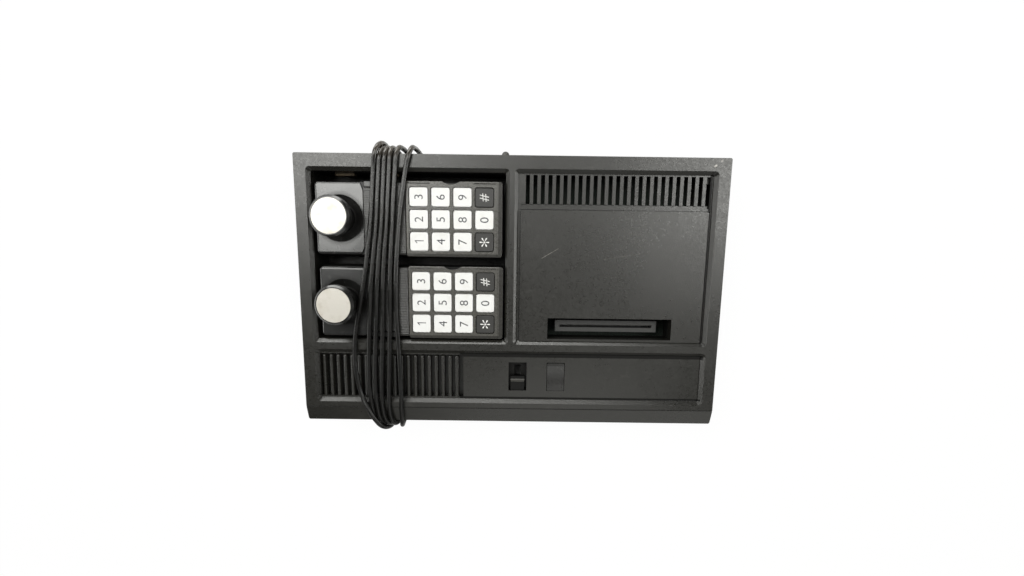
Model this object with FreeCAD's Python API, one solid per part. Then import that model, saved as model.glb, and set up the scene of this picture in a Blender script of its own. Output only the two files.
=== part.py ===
import FreeCAD, Part
import math
import os

# Home video game console with two hand controllers stowed in its well.
# X runs to the right, Y to the back, Z up, and the origin is on the table under the middle of the case.
# Sizes are millimetres.

# Case
case_width = 355.6
case_depth = 226.0
rim_height = 57.0
foot_height = 7.0
parting_height = 31.0
parting_gap = 0.4
case_wall = 2.6
case_corner = 1.5
base_chamfer = 3.5
lip_run = 13.3
lip_drop = 4.5
crease_groove = 0.5

# Rims and pockets in the top of the case
side_rim = 9.6
back_rim = 10.5
front_rim = 4.6
cross_rim = 5.9
divider_rim = 4.2
strip_width = 46.5
bevel = 3.0
pocket_corner = 3.4
well_depth = 37.0
recess_depth = 4.0
strip_depth = 4.0

# Vent grille
grille_bars = 26
grille_pitch = 6.18
grille_slot_width = 3.3
grille_left_margin = 3.7
grille_slot_length = 23.2
grille_back_margin = 2.6
grille_groove_width = 2.4
grille_groove_depth = 2.0

# Raised panel and cartridge slot
panel_margin = 2.4
panel_rise = 2.0
panel_corner = 1.0
panel_groove_width = 1.0
panel_groove_depth = 1.4
panel_gap_behind = 5.3
slot_length = 106.0
slot_width = 18.0
slot_front_wall = 2.0
chute_depth = 22.0
chute_wall = 1.8
slot_side_offset = 0.6

# Ribbed strip
rib_count = 20
rib_pitch = 6.08
rib_radius = 1.65
rib_depth = 7.0
rib_length = 37.6
rib_end_gap = 0.8
rib_left_margin = 0.2
rib_first = 3.1
rib_last = 5.8

# Power switch and reset button
window_width = 15.7
window_length = 25.2
window_left = -1.2
reset_left = 32.0
button_clearance = 0.4
power_block_length = 12.4
power_block_width = 11.9
power_block_sink = 0.8
power_stem_width = 5.0
power_stem_margin = 3.0
power_stem_depth = 5.0
power_ridge_inset = 3.4
power_ridge_height = 1.0
power_ridge_front = 1.4
power_ridge_back = 0.9
power_switch_width = 9.0
power_switch_height = 13.0
reset_travel = 1.5
reset_stand = 0.6
reset_flange = 1.2
reset_hollow_radius = 60.0
reset_hollow_depth = 0.8
reset_contact_height = 5.0
reset_contact_width = 6.0
reset_stem_radius = 2.5
button_corner = 1.0
guide_wall = 1.6
guide_depth = 8.0

# Inside of the case
board_thickness = 1.6
board_height = 22.0
board_margin = 5.0
board_back_margin = 12.0
board_side_margin = 22.0
board_post_inset = 8.0
boss_radius = 4.0
screw_post_radius = 5.5
screw_margin = 16.0
base_post_top = 17.0
base_floor_bite = 0.5
shield_left = 18.0
shield_right = 146.0
shield_front = 8.0
shield_back = 72.0
shield_height = 16.0
shield_wall = 0.8
shield_corner = 3.0
vent_columns = 6
vent_rows = 4
vent_pitch = 18.0
vent_row_pitch = 14.0
vent_radius = 2.5
chip_count = 3
chip_pitch = 34.0
chip_width = 16.0
chip_length = 40.0
chip_height = 4.0
connector_width = 10.0
connector_height = 14.0
connector_end_margin = 8.0
connector_wall = 4.0
connector_slit_width = 2.4
connector_slit_floor = 3.0
screw_head_radius = 3.4
screw_head_height = 2.2
screw_recess_depth = 3.6
screw_cross_depth = 1.2
screw_cross_width = 0.8
screw_cross_length = 4.0
screw_bite = 2.6
screw_shank_radius = 1.6
screw_clearance = 0.2
screw_recess_radius = 4.2
foot_radius = 9.0
foot_edge = 1.5
foot_seat_depth = 1.0
foot_margin_side = 26.0
foot_margin_end = 30.0

# Front expansion port with its sliding cover
port_width = 80.0
port_height = 10.8
port_left = 20.0
port_bottom = 16.6
cover_lap = 3.0
cover_thickness = 1.8
cover_clearance = 0.3
cover_rib_height = 0.9
cover_rib_width = 1.2
cover_rib_pitch = 3.0
cover_rib_margin = 10.0
cover_rib_inset = 2.0
cover_ribs = 5
rail_thickness = 2.0

# Back wall
relief_x = -6.0
relief_height = 38.0
relief_root_radius = 3.6
relief_bend_radius = 3.2
relief_tip_radius = 2.6
relief_bend = 3.4
relief_length = 12.0
relief_collar = 1.4
inlet_x = 62.0
inlet_height = 24.0
inlet_radius = 7.0
inlet_wall = 1.5
inlet_floor = 3.0
inlet_collar = 2.0
inlet_pins = 4
inlet_pin_radius = 0.6
inlet_pin_circle = 2.8
inlet_pin_sink = 2.0
inlet_depth = 12.0
channel_x = 28.0
channel_height = 22.0
channel_slot_length = 12.0
channel_slot_height = 4.0
channel_lever_length = 4.0
channel_lever_height = 3.0
channel_track_depth = 3.0
channel_body_depth = 14.0
channel_body_side = 3.0

# Controller ports in the back wall of the well
port_shell_width = 16.9
port_shell_height = 8.4
port_shell_depth = 5.0
port_shell_wall = 0.5
port_shell_corner = 2.0
port_pins = 9
port_pin_radius = 0.5
port_pin_pitch = 2.76
port_pin_rows = 2.8
port_pin_sink = 1.5
port_flange_width = 30.8
port_flange_height = 12.5
port_flange_thickness = 1.0
port_margin = 24.2
port_spacing = 37.0
port_below_rim = 18.0

# Hand controller
pad_end_gap = 2.85
pad_back_gap = 6.7
pad_between = 6.2
pad_front_gap = 0.7
pad_shift = 0.15
lower_pad_shift = 1.0
pad_flare = 2.2
pad_end_flare = 0.8
pad_height = 36.0
pad_parting = 18.0
pad_base_inset = 5.0
pad_wall = 2.0
pad_corner = 3.0
pad_edge_round = 2.2
pad_seam = 0.3
pad_post_radius = 2.5
pad_outlet_radius = 3.0
pad_inner_corner = 1.5

# Keypad
key_gap = 2.84
key_corner = 1.8
key_clearance = 0.5
key_travel = 1.0
key_sink = 0.8
key_flange = 0.9
key_flange_thickness = 1.2
frame_share = 0.5155
frame_overhang = 1.4
frame_left_margin = 1.56
frame_right_margin = 5.88
frame_side_margin = 3.54
frame_thickness = 3.0
frame_stand = 0.5
frame_corner = 2.0
frame_edge_round = 0.8
notch_length = 15.0
notch_depth = 2.6
notch_drop = 4.0
frame_step_inset = 4.6
frame_step_width = 0.6
frame_step_depth = 0.5
card_slot_length = 18.5
card_slot_width = 0.8
card_slot_inset = 1.8
card_slot_centres = (11.0, 65.0)
ledge_thickness = 2.0
notch_offset = 0.4
key_stop_gap = 0.25
key_edge_round = 0.5
key_places = (
    ("3", 0, 1), ("2", 0, 0), ("1", 0, -1),
    ("6", 1, 1), ("5", 1, 0), ("4", 1, -1),
    ("9", 2, 1), ("8", 2, 0), ("7", 2, -1),
    ("hash", 3, 1), ("0", 3, 0), ("star", 3, -1),
)

# Stick
stick_from_left = 20.3
pivot_below_face = 12.0
dish_radius = 19.2
dish_depth = 3.4
skirt_radius = 13.5
skirt_wall = 1.2
skirt_edge_angle = 66.0
skirt_gap = 0.35
cap_radius = 16.3
cap_height = 8.0
cap_above_face = 22.0
cap_edge_round = 1.6
disc_radius = 14.0
disc_thickness = 0.8
disc_clearance = 0.1
neck_radius = 8.6
neck_flare = 2.6
shaft_radius = 3.0
shaft_below_pivot = 6.0
ring_outer = 9.4
ring_inner = 6.4
ring_height = 5.0
pin_radius = 1.3
pin_clearance = 0.08
post_gap = 15.0
post_width = 2.4
post_length = 7.0
post_hole_reach = 5.0
gate_marks = 8
gate_mark_width = 0.7
gate_mark_length = 3.4
gate_mark_inset = 1.0
gate_mark_cut = 0.5
dish_floor_radius = 12.8
dish_boss_drop = 3.0
dish_boss_wall = 1.8
stick_opening_radius = 11.4
plate_end = 39.8
plate_groove = 0.6
plate_groove_depth = 1.6
plate_notch_width = 3.0
plate_notch_length = 6.8
upper_lean_left = 2.8
upper_lean_back = 1.3
lower_lean_left = 3.2
lower_lean_back = -1.5

# Side buttons
side_button_start = 41.0
side_button_margin = 9.8
side_button_height = 13.0
side_button_drop = 0.4
side_button_stand = 0.6
side_button_travel = 0.8
side_button_wrap = 3.4
side_button_clearance = 0.3
side_button_flange = 1.2

# Wound lead
lead_radius = 2.0
lead_layer = 4.6
lead_gap = 0.3
lead_back_slack = 11.4
lead_front_slack = 10.4
lead_floor_gap = 0.2
winding_corner = 8.6
winding_reach = 200.0
winding_right_margin = 93.8
winding_left_margin = 62.3
winding_waist_margin = 85.8
winding_waist_share = 0.18
winding_front_right = 86.8
winding_front_left = 55.8
winding_left_edge = [(0.59, 59.8), (0.18, 55.8), (-0.12, 51.3), (-0.39, 43.3), (-0.64, 43.3)]
winding_back_shoulder = 8.0
lead_rest = 2.5
lead_corner_run = 8.1
lead_sway = 1.2
tail_run = 26.0
end_run = 12.0
lead_plug_radius = 4.2
lead_plug_rest = 4.5
lead_plug_length = 15.0
lead_plug_skirt = 0.55
lead_plug_step = 0.8
lead_tip_radius = 1.6
lead_tip_length = 8.0

# Places worked out from the sizes above
half_width = case_width / 2
half_depth = case_depth / 2
crease_y = lip_run - half_depth
strip_front = crease_y + front_rim
strip_back = strip_front + strip_width
pocket_front = strip_back + cross_rim
pocket_back = half_depth - back_rim
pocket_side = half_width - side_rim
pocket_inner = divider_rim / 2
well_floor = rim_height - well_depth
recess_floor = rim_height - recess_depth
strip_floor = rim_height - strip_depth
panel_top = recess_floor + panel_rise
grille_back = pocket_back - bevel - grille_back_margin + bevel / 2
grille_front = grille_back - grille_slot_length
panel_back = grille_front - panel_gap_behind
panel_left = pocket_inner + bevel + panel_margin
panel_right = pocket_side - bevel - panel_margin
panel_front = pocket_front + bevel
slot_x = (panel_left + panel_right) / 2 - slot_side_offset
slot_front = panel_front + slot_front_wall
slot_back = slot_front + slot_width
chute_bottom = panel_top - chute_depth
window_front = (strip_front + strip_back) / 2 - window_length / 2
window_back = window_front + window_length
tub_side = pocket_side - bevel + case_wall
tub_inner = pocket_inner + bevel - case_wall
tub_front = pocket_front + bevel - case_wall
tub_back = pocket_back - bevel + case_wall
base_floor = foot_height + case_wall
screw_seat = foot_height + screw_recess_depth
board_top = board_height + board_thickness
power_floor = strip_floor - guide_depth + guide_wall
power_switch_top = board_top + power_switch_height
reset_contact_top = board_top + reset_contact_height
channel_body_back = half_depth - case_wall - parting_gap
channel_body_front = channel_body_back - channel_body_depth
board_left = pocket_inner
board_right = half_width - case_wall - board_side_margin
board_front = -half_depth + case_wall + cover_thickness + 3 * cover_clearance + board_margin
board_back = half_depth - case_wall - board_back_margin
port_centres = (bevel - pocket_side + port_margin, bevel - pocket_side + port_margin + port_spacing)
well_length = pocket_side - pocket_inner - 2 * bevel
well_width = pocket_back - pocket_front - 2 * bevel
pad_length = well_length - 2 * pad_end_gap
pad_width = (well_width - pad_back_gap - pad_between - pad_front_gap) / 2 - 2 * pad_flare
upper_pad_left = bevel - pocket_side + pad_end_gap + pad_shift
upper_pad_centre = pocket_back - bevel - pad_back_gap - pad_flare - pad_width / 2
lower_pad_centre = upper_pad_centre - pad_width - 2 * pad_flare - pad_between
winding_right = winding_right_margin - half_width
winding_left = winding_left_margin - half_width
frame_length = pad_length * frame_share
frame_width = pad_width + 2 * frame_overhang
key_pitch_x = (frame_length - frame_left_margin - frame_right_margin) / 4
key_pitch_y = (frame_width - 2 * frame_side_margin) / 3
key_half_x = (key_pitch_x - key_gap) / 2
key_half_y = (key_pitch_y - key_gap) / 2
pivot_z = pad_height - pivot_below_face
frame_bottom = pad_height + frame_stand - frame_thickness
frame_top = pad_height + frame_stand
frame_left = pad_length - frame_length
cap_top = pad_height + cap_above_face
pad_outer = pad_width / 2 + pad_flare
ledge_bottom = frame_bottom - ledge_thickness
keypad_board_top = frame_bottom - key_stop_gap - key_flange_thickness - key_travel - key_stop_gap
keypad_board_bottom = keypad_board_top - board_thickness
dish_boss_bottom = pad_height - dish_depth - dish_boss_drop
gate_mark_floor = pad_height - (gate_mark_inset + gate_mark_length / 2) * dish_depth / (
    dish_radius - dish_floor_radius) - gate_mark_cut
side_button_length = frame_left - side_button_start - side_button_margin
side_button_inner = pad_width / 2 - side_button_wrap
side_button_bottom = pad_height - side_button_drop - side_button_height
side_button_wall = pad_width / 2 - pad_wall - side_button_clearance
side_button_flange_top = pad_height - pad_wall - side_button_clearance


def box(x0, x1, y0, y1, z0, z1):
    return Part.makeBox(x1 - x0, y1 - y0, z1 - z0, FreeCAD.Vector(x0, y0, z0))


def cylinder(radius, length, at, along):
    return Part.makeCylinder(radius, length, FreeCAD.Vector(*at), FreeCAD.Vector(*along))


def rounded_wire(x0, x1, y0, y1, radius, z):
    """Rectangle with round corners at the height z."""
    turn = radius * (1 - math.sqrt(0.5))
    corners = [(x1, y0, 1, -1), (x1, y1, 1, 1), (x0, y1, -1, 1), (x0, y0, -1, -1)]
    edges = []
    previous = FreeCAD.Vector(x0 + radius, y0, z)
    for x, y, side, end in corners:
        on_x = FreeCAD.Vector(x, y - end * radius, z)
        on_y = FreeCAD.Vector(x - side * radius, y, z)
        middle = FreeCAD.Vector(x - side * turn, y - end * turn, z)
        first, last = (on_y, on_x) if side * end < 0 else (on_x, on_y)
        edges.append(Part.makeLine(previous, first))
        edges.append(Part.Arc(first, middle, last).toShape())
        previous = last
    return Part.Wire(edges)


def rounded_block(x0, x1, y0, y1, z0, z1, radius):
    face = Part.Face(rounded_wire(x0, x1, y0, y1, radius, z0))
    return face.extrude(FreeCAD.Vector(0, 0, z1 - z0))


def tapered_block(lower, upper, radius_low, radius_high):
    """Solid between two round-cornered rectangles, each given as x0, x1, y0, y1, z."""
    wires = [rounded_wire(*lower[:4], radius_low, lower[4]), rounded_wire(*upper[:4], radius_high, upper[4])]
    return Part.makeLoft(wires, True, True)


def bevelled_pocket(x0, x1, y0, y1, floor):
    """Cutter for a pocket in the rim plane with a sloped edge all round."""
    mouth = (x0, x1, y0, y1, rim_height)
    throat = (x0 + bevel, x1 - bevel, y0 + bevel, y1 - bevel, rim_height - bevel)
    slope = tapered_block(throat, mouth, pocket_corner - bevel + 1.0, pocket_corner)
    pit = rounded_block(*throat[:4], floor, rim_height - bevel, pocket_corner - bevel + 1.0)
    return slope.fuse(pit)


def fuse_all(solids):
    return solids[0].multiFuse(solids[1:]) if len(solids) > 1 else solids[0]


def cut_all(solid, tools):
    return solid.cut(Part.makeCompound(tools))


def side_profile(inset):
    """Outline of the case seen from the side, with the sloped lip at the front."""
    front = -half_depth + inset
    back = half_depth - inset
    slope = inset * (math.hypot(lip_run, lip_drop) - lip_drop) / lip_run
    return [(front, foot_height), (back, foot_height), (back, rim_height - inset),
            (crease_y + inset * lip_drop / (2 * lip_run), rim_height - inset),
            (front, rim_height - lip_drop - slope)]


def case_block(inset):
    """Whole body of the case, shrunk on every upright and upper face by the inset."""
    points = [FreeCAD.Vector(-half_width + inset, y, z) for y, z in side_profile(inset)]
    face = Part.Face(Part.makePolygon(points + points[:1]))
    prism = face.extrude(FreeCAD.Vector(case_width - 2 * inset, 0, 0))
    plan = rounded_block(-half_width + inset, half_width - inset, -half_depth + inset, half_depth - inset,
                         foot_height, rim_height, case_corner / (1 + inset))
    return prism.common(plan)


def grille_slots():
    """Slots between the grille bars."""
    first = panel_left + grille_left_margin
    slots = []
    for index in range(grille_bars - 1):
        x = first + index * grille_pitch
        slots.append(box(x, x + grille_slot_width, grille_front, grille_back, recess_floor - case_wall - 1,
                         rim_height))
    return slots


def rib_field(margin, low, high):
    """Block over the whole field of ribs, grown by the margin."""
    left = -pocket_side + bevel + rib_left_margin
    right = left + rib_first + (rib_count - 1) * rib_pitch + rib_last
    middle = (strip_front + strip_back) / 2
    return box(left - margin, right + margin, middle - rib_length / 2 - margin,
               middle + rib_length / 2 + margin, low, high)


def ribs():
    """Round-topped ribs that stand in their sunk field, each with a round back end."""
    first = -pocket_side + bevel + rib_left_margin + rib_first
    front = (strip_front + strip_back - rib_length) / 2
    end = front + rib_length - rib_end_gap - rib_radius
    top = strip_floor - rib_radius
    foot = strip_floor - rib_depth - 1
    bars = []
    for index in range(rib_count):
        x = first + index * rib_pitch
        bars.append(cylinder(rib_radius, end - front, (x, front, top), (0, 1, 0)))
        bars.append(Part.makeSphere(rib_radius, FreeCAD.Vector(x, end, top)))
        bars.append(cylinder(rib_radius, top - foot, (x, end, foot), (0, 0, 1)))
        bars.append(box(x - rib_radius, x + rib_radius, front, end, foot, top))
    return bars


def guide_sleeve(left):
    """Walls under the strip that guide a button or slider."""
    return box(left - guide_wall, left + window_width + guide_wall, window_front - guide_wall,
               window_back + guide_wall, strip_floor - guide_depth, strip_floor - case_wall / 2)


def power_guide():
    """Guide of the power slider, with a floor that its stem passes through."""
    x = window_left + window_width / 2
    pit = box(window_left, window_left + window_width, window_front, window_back, power_floor, rim_height)
    half = power_stem_width / 2 + button_clearance
    stem_way = box(x - half, x + half, window_front + button_clearance + power_stem_margin,
                   window_back - button_clearance - power_stem_margin, 0, rim_height)
    return pit, stem_way


def chute():
    """Walls that lead a cartridge down to its connector."""
    left = slot_x - slot_length / 2
    right = slot_x + slot_length / 2
    return box(left - chute_wall, right + chute_wall, slot_front - chute_wall, slot_back + chute_wall,
               chute_bottom, panel_top - case_wall / 2)


def tub_block():
    return box(-tub_side, -tub_inner, tub_front, tub_back, well_floor - case_wall, rim_height)


def case_inside():
    """Space inside the top housing, clear of the well, the recess floor and the strip floor."""
    recess = box(-tub_inner, tub_side, tub_front, tub_back, recess_floor - case_wall, rim_height)
    strip = box(-tub_side, tub_side, strip_front + bevel - case_wall, tub_front, strip_floor - case_wall,
                rim_height)
    field = rib_field(case_wall, strip_floor - rib_depth - case_wall, rim_height)
    return cut_all(case_block(case_wall), [tub_block(), recess, strip, field])


def port_openings():
    back_wall = pocket_back - bevel
    z = rim_height - port_below_rim
    openings = []
    for x in port_centres:
        width = port_shell_width + 2 * parting_gap
        height = port_shell_height + 2 * parting_gap
        openings.append(box(x - width / 2, x + width / 2, back_wall - 1, pocket_back + 1, z - height / 2,
                            z + height / 2))
    return openings


def back_wall_openings():
    y = half_depth - case_wall - 1
    deep = case_wall + 2
    slot = box(channel_x - channel_slot_length / 2, channel_x + channel_slot_length / 2, y, y + deep,
               channel_height - channel_slot_height / 2, channel_height + channel_slot_height / 2)
    relief = cylinder(relief_root_radius, deep, (relief_x, y, relief_height), (0, 1, 0))
    inlet = cylinder(inlet_radius + parting_gap, deep, (inlet_x, y, inlet_height), (0, 1, 0))
    return [slot, relief, inlet]


def screw_places():
    side = half_width - screw_margin
    end = half_depth - screw_margin
    return [(-side, -end), (-side, end), (side, end), (side, -end)]


def screw_pillars():
    """Pillars of the top housing that the case screws bite into."""
    start = base_post_top + parting_gap
    pillars = []
    for x, y in screw_places():
        if x < 0 < y:
            continue
        pillars.append(cylinder(boss_radius, strip_floor - case_wall / 2 - start, (x, y, start), (0, 0, 1)))
    return pillars


def top_housing():
    """Upper moulding: outer walls, rims, stowage well, vented recess, chute and ribbed strip."""
    above = box(-case_width, case_width, -case_depth, case_depth, parting_height, rim_height + 1)
    shell = case_block(0).common(above).cut(case_inside())
    panel = rounded_block(panel_left, panel_right, panel_front, panel_back, recess_floor - 1, panel_top,
                          panel_corner)
    gap = panel_groove_width
    ditch = box(panel_left - gap, panel_right + gap, panel_front, panel_back + gap,
                recess_floor - panel_groove_depth, rim_height)
    ditch = ditch.cut(box(panel_left, panel_right, panel_front - 1, panel_back, 0, rim_height))
    crease = box(-case_width, case_width, crease_y - crease_groove, crease_y,
                 rim_height - 2 * crease_groove, rim_height + 1)
    well = bevelled_pocket(-pocket_side, -pocket_inner, pocket_front, pocket_back, well_floor)
    recess = bevelled_pocket(pocket_inner, pocket_side, pocket_front, pocket_back, recess_floor)
    strip = bevelled_pocket(-pocket_side, pocket_side, strip_front, strip_back, strip_floor)
    field = rib_field(0, strip_floor - rib_depth, rim_height)
    shell = cut_all(shell.fuse(tub_block()), [well, recess, strip, field])
    shell = fuse_all([shell, panel, chute(), guide_sleeve(window_left), guide_sleeve(reset_left)]
                     + screw_pillars() + ribs())
    groove = box(panel_left, panel_right, grille_front - grille_groove_width, grille_front,
                 recess_floor - grille_groove_depth, rim_height)
    slot = box(slot_x - slot_length / 2, slot_x + slot_length / 2, slot_front, slot_back, 0, rim_height)
    reset_window = box(reset_left, reset_left + window_width, window_front, window_back, 0, rim_height)
    screw_holes = [cylinder(screw_shank_radius, screw_bite, (x, y, base_post_top - 1), (0, 0, 1))
                   for x, y in screw_places()]
    tools = [groove, ditch, crease, slot, reset_window, *power_guide()] + grille_slots()
    tools += port_openings() + back_wall_openings() + screw_holes
    return cut_all(shell, tools)


def boss_places():
    """Posts that carry the main board."""
    xs = (board_left + board_post_inset, board_right - board_post_inset)
    ys = (board_front + board_post_inset, board_back - board_post_inset)
    return [(x, y) for x in xs for y in ys]


def rails():
    """Rails and end stops behind the front wall that hold the expansion cover."""
    wall_back = -half_depth + case_wall
    left = port_left - port_width - cover_lap - cover_clearance
    right = port_left + port_width + cover_lap + cover_clearance
    behind = wall_back + cover_thickness + 2 * cover_clearance
    back = behind + rail_thickness
    low = port_bottom - cover_lap - cover_clearance
    high = port_bottom + port_height + cover_lap + cover_clearance
    foot = base_floor - base_floor_bite
    shelf = box(left, right, wall_back - base_floor_bite, back, foot, low)
    lower_lip = box(left, right, behind, back, low, low + cover_lap)
    upper_lip = box(left, right, behind, back, high - cover_lap, high)
    stop = box(right, right + rail_thickness, wall_back - base_floor_bite, back, foot, high)
    other_stop = stop.translated(FreeCAD.Vector(left - right - rail_thickness, 0, 0))
    return fuse_all([shelf, lower_lip, upper_lip, stop, other_stop])


def foot_places():
    side = half_width - foot_margin_side
    end = half_depth - foot_margin_end
    return [(-side, -end), (-side, end), (side, end), (side, -end)]


def base_shape(inset, low, high):
    """Body of the lower half with its slanted bottom edges, shrunk by the inset."""
    x = half_width - inset
    y = half_depth - inset
    corner = case_corner / (1 + inset)
    upper = rounded_block(-x, x, -y, y, low + base_chamfer, high, corner)
    small_x = x - base_chamfer
    small_y = y - base_chamfer
    lower = tapered_block((-small_x, small_x, -small_y, small_y, low), (-x, x, -y, y, low + base_chamfer),
                          corner, corner)
    return upper.fuse(lower)


def base_housing():
    """Lower moulding: floor, walls, board posts, screw posts and rails for the cover."""
    seam = parting_height - parting_gap
    shell = base_shape(0, foot_height, seam).cut(base_shape(case_wall, base_floor, seam + 1))
    start = base_floor - base_floor_bite
    posts = [cylinder(boss_radius, board_height - start, (x, y, start), (0, 0, 1)) for x, y in boss_places()]
    posts += [cylinder(screw_post_radius, base_post_top - start, (x, y, start), (0, 0, 1))
              for x, y in screw_places()]
    shell = fuse_all([shell, rails()] + posts)
    tools = back_wall_openings()
    wall_back = -half_depth + case_wall
    tools.append(box(port_left, port_left + port_width, -half_depth - 1, wall_back + 1, port_bottom,
                     port_bottom + port_height))
    tools.append(box(port_left - port_width, port_left + 1, wall_back - cover_rib_height,
                     wall_back + cover_clearance, port_bottom + cover_rib_inset - cover_clearance,
                     port_bottom + port_height - cover_rib_inset + cover_clearance))
    for x, y in screw_places():
        tools.append(cylinder(screw_recess_radius, screw_seat - foot_height, (x, y, foot_height), (0, 0, 1)))
        tools.append(cylinder(screw_shank_radius + screw_clearance, base_post_top, (x, y, foot_height),
                              (0, 0, 1)))
    for x, y in foot_places():
        tools.append(cylinder(foot_radius, foot_seat_depth, (x, y, foot_height), (0, 0, 1)))
    return cut_all(shell, tools)


def rubber_feet():
    feet = []
    top = foot_height + foot_seat_depth
    for x, y in foot_places():
        profile = [(0, 0), (foot_radius - foot_edge, 0), (foot_radius, foot_edge), (foot_radius, top),
                   (0, top)]
        points = [FreeCAD.Vector(x + r, y, z) for r, z in profile]
        face = Part.Face(Part.makePolygon(points + points[:1]))
        feet.append(face.revolve(FreeCAD.Vector(x, y, 0), FreeCAD.Vector(0, 0, 1), 360))
    return Part.makeCompound(feet)


def case_screws():
    screws = []
    for x, y in screw_places():
        head_low = screw_seat - screw_head_height
        head = cylinder(screw_head_radius, screw_head_height, (x, y, head_low), (0, 0, 1))
        shank = cylinder(screw_shank_radius, base_post_top + screw_bite - 1 - screw_seat, (x, y, screw_seat),
                         (0, 0, 1))
        long = screw_cross_length / 2
        thin = screw_cross_width / 2
        cross = [box(x - long, x + long, y - thin, y + thin, 0, head_low + screw_cross_depth),
                 box(x - thin, x + thin, y - long, y + long, 0, head_low + screw_cross_depth)]
        screws.append(cut_all(head.fuse(shank), cross))
    return Part.makeCompound(screws)


def main_board():
    """Board with the reset contact and the channel switch soldered on."""
    board = box(board_left, board_right, board_front, board_back, board_height, board_top)
    x = reset_left + window_width / 2
    y = (window_front + window_back) / 2
    side = reset_contact_width / 2
    contact = box(x - side, x + side, y - side, y + side, board_top, reset_contact_top)
    half = channel_slot_length / 2
    wide = half + channel_body_side
    body = box(channel_x - wide, channel_x + wide, channel_body_front, channel_body_back,
               channel_height - channel_slot_height, channel_height + channel_slot_height)
    track = box(channel_x - half, channel_x + half, channel_body_back - channel_track_depth, half_depth,
                channel_height - channel_lever_height / 2 - parting_gap,
                channel_height + channel_lever_height / 2 + parting_gap)
    chips = []
    middle = (shield_left + shield_right) / 2
    back = (shield_front + shield_back + chip_length) / 2
    for index in range(chip_count):
        left = middle + (index - (chip_count - 1) / 2) * chip_pitch - chip_width / 2
        chips.append(box(left, left + chip_width, back - chip_length, back, board_top,
                         board_top + chip_height))
    return fuse_all([board, contact, body.cut(track)] + chips)


def rf_shield():
    """Pressed metal cover over the chips, with rows of small vents."""
    outer = rounded_block(shield_left, shield_right, shield_front, shield_back, board_top,
                          board_top + shield_height, shield_corner)
    inner = rounded_block(shield_left + shield_wall, shield_right - shield_wall, shield_front + shield_wall,
                          shield_back - shield_wall, board_top - 1, board_top + shield_height - shield_wall,
                          shield_corner - shield_wall)
    vents = []
    middle_x = (shield_left + shield_right) / 2
    middle_y = (shield_front + shield_back) / 2
    for column in range(vent_columns):
        for row in range(vent_rows):
            x = middle_x + (column - (vent_columns - 1) / 2) * vent_pitch
            y = middle_y + (row - (vent_rows - 1) / 2) * vent_row_pitch
            vents.append(cylinder(vent_radius, shield_height, (x, y, board_top + shield_wall), (0, 0, 1)))
    return outer.cut(inner).cut(Part.makeCompound(vents))


def cartridge_connector():
    """Edge connector standing in the chute, with a slit for the cartridge's board."""
    y = (slot_front + slot_back) / 2
    left = slot_x - slot_length / 2 + connector_end_margin
    right = slot_x + slot_length / 2 - connector_end_margin
    body = box(left, right, y - connector_width / 2, y + connector_width / 2, board_top,
               board_top + connector_height)
    slit = box(left + connector_wall, right - connector_wall, y - connector_slit_width / 2,
               y + connector_slit_width / 2, board_top + connector_slit_floor,
               board_top + connector_height + 1)
    return body.cut(slit)


def power_switch_body():
    x = window_left + window_width / 2
    body = box(x - power_switch_width / 2, x + power_switch_width / 2, window_front, window_back, board_top,
               power_switch_top)
    half = power_stem_width / 2 + button_clearance
    track = box(x - half, x + half, window_front + button_clearance + power_stem_margin,
                window_back - button_clearance - power_stem_margin, power_switch_top - power_stem_depth,
                power_switch_top + 1)
    return body.cut(track)


def power_slider():
    """Finger block at the front of its window, with a ridge across it and a stem into the switch."""
    x = window_left + window_width / 2
    front = window_front + button_clearance
    back = front + power_block_length
    top = strip_floor - power_block_sink
    block = box(x - power_block_width / 2, x + power_block_width / 2, front, back,
                power_floor + cover_clearance, top)
    ridge_y = back - power_ridge_inset
    profile = [(ridge_y - power_ridge_front, top), (ridge_y, top + power_ridge_height),
               (ridge_y + power_ridge_back, top)]
    points = [FreeCAD.Vector(x - power_block_width / 2, y, z) for y, z in profile]
    ridge = Part.Face(Part.makePolygon(points + points[:1])).extrude(FreeCAD.Vector(power_block_width, 0, 0))
    stem = box(x - power_stem_width / 2, x + power_stem_width / 2, front + power_stem_margin,
               back - power_stem_margin, power_switch_top - power_stem_depth + cover_clearance,
               power_floor + 1)
    return fuse_all([block, ridge, stem])


def reset_button():
    """Wide push button with a hollowed top, a flange under its guide and a stem to the contact."""
    x = reset_left + window_width / 2
    y = (window_front + window_back) / 2
    top = strip_floor + reset_stand
    half_x = window_width / 2 - button_clearance
    half_y = window_length / 2 - button_clearance
    guide_low = strip_floor - guide_depth
    cap = rounded_block(x - half_x, x + half_x, y - half_y, y + half_y, guide_low - 1, top, button_corner)
    hollow = cylinder(reset_hollow_radius, window_width, (x - window_width / 2, y,
                      top + reset_hollow_radius - reset_hollow_depth), (1, 0, 0))
    flange = box(x - half_x - guide_wall, x + half_x + guide_wall, y - half_y - guide_wall,
                 y + half_y + guide_wall, guide_low - button_clearance - reset_flange,
                 guide_low - button_clearance)
    stem_low = reset_contact_top + reset_travel + cover_clearance
    stem = cylinder(reset_stem_radius, guide_low - stem_low, (x, y, stem_low), (0, 0, 1))
    return fuse_all([cap.cut(hollow), flange, stem])


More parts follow.
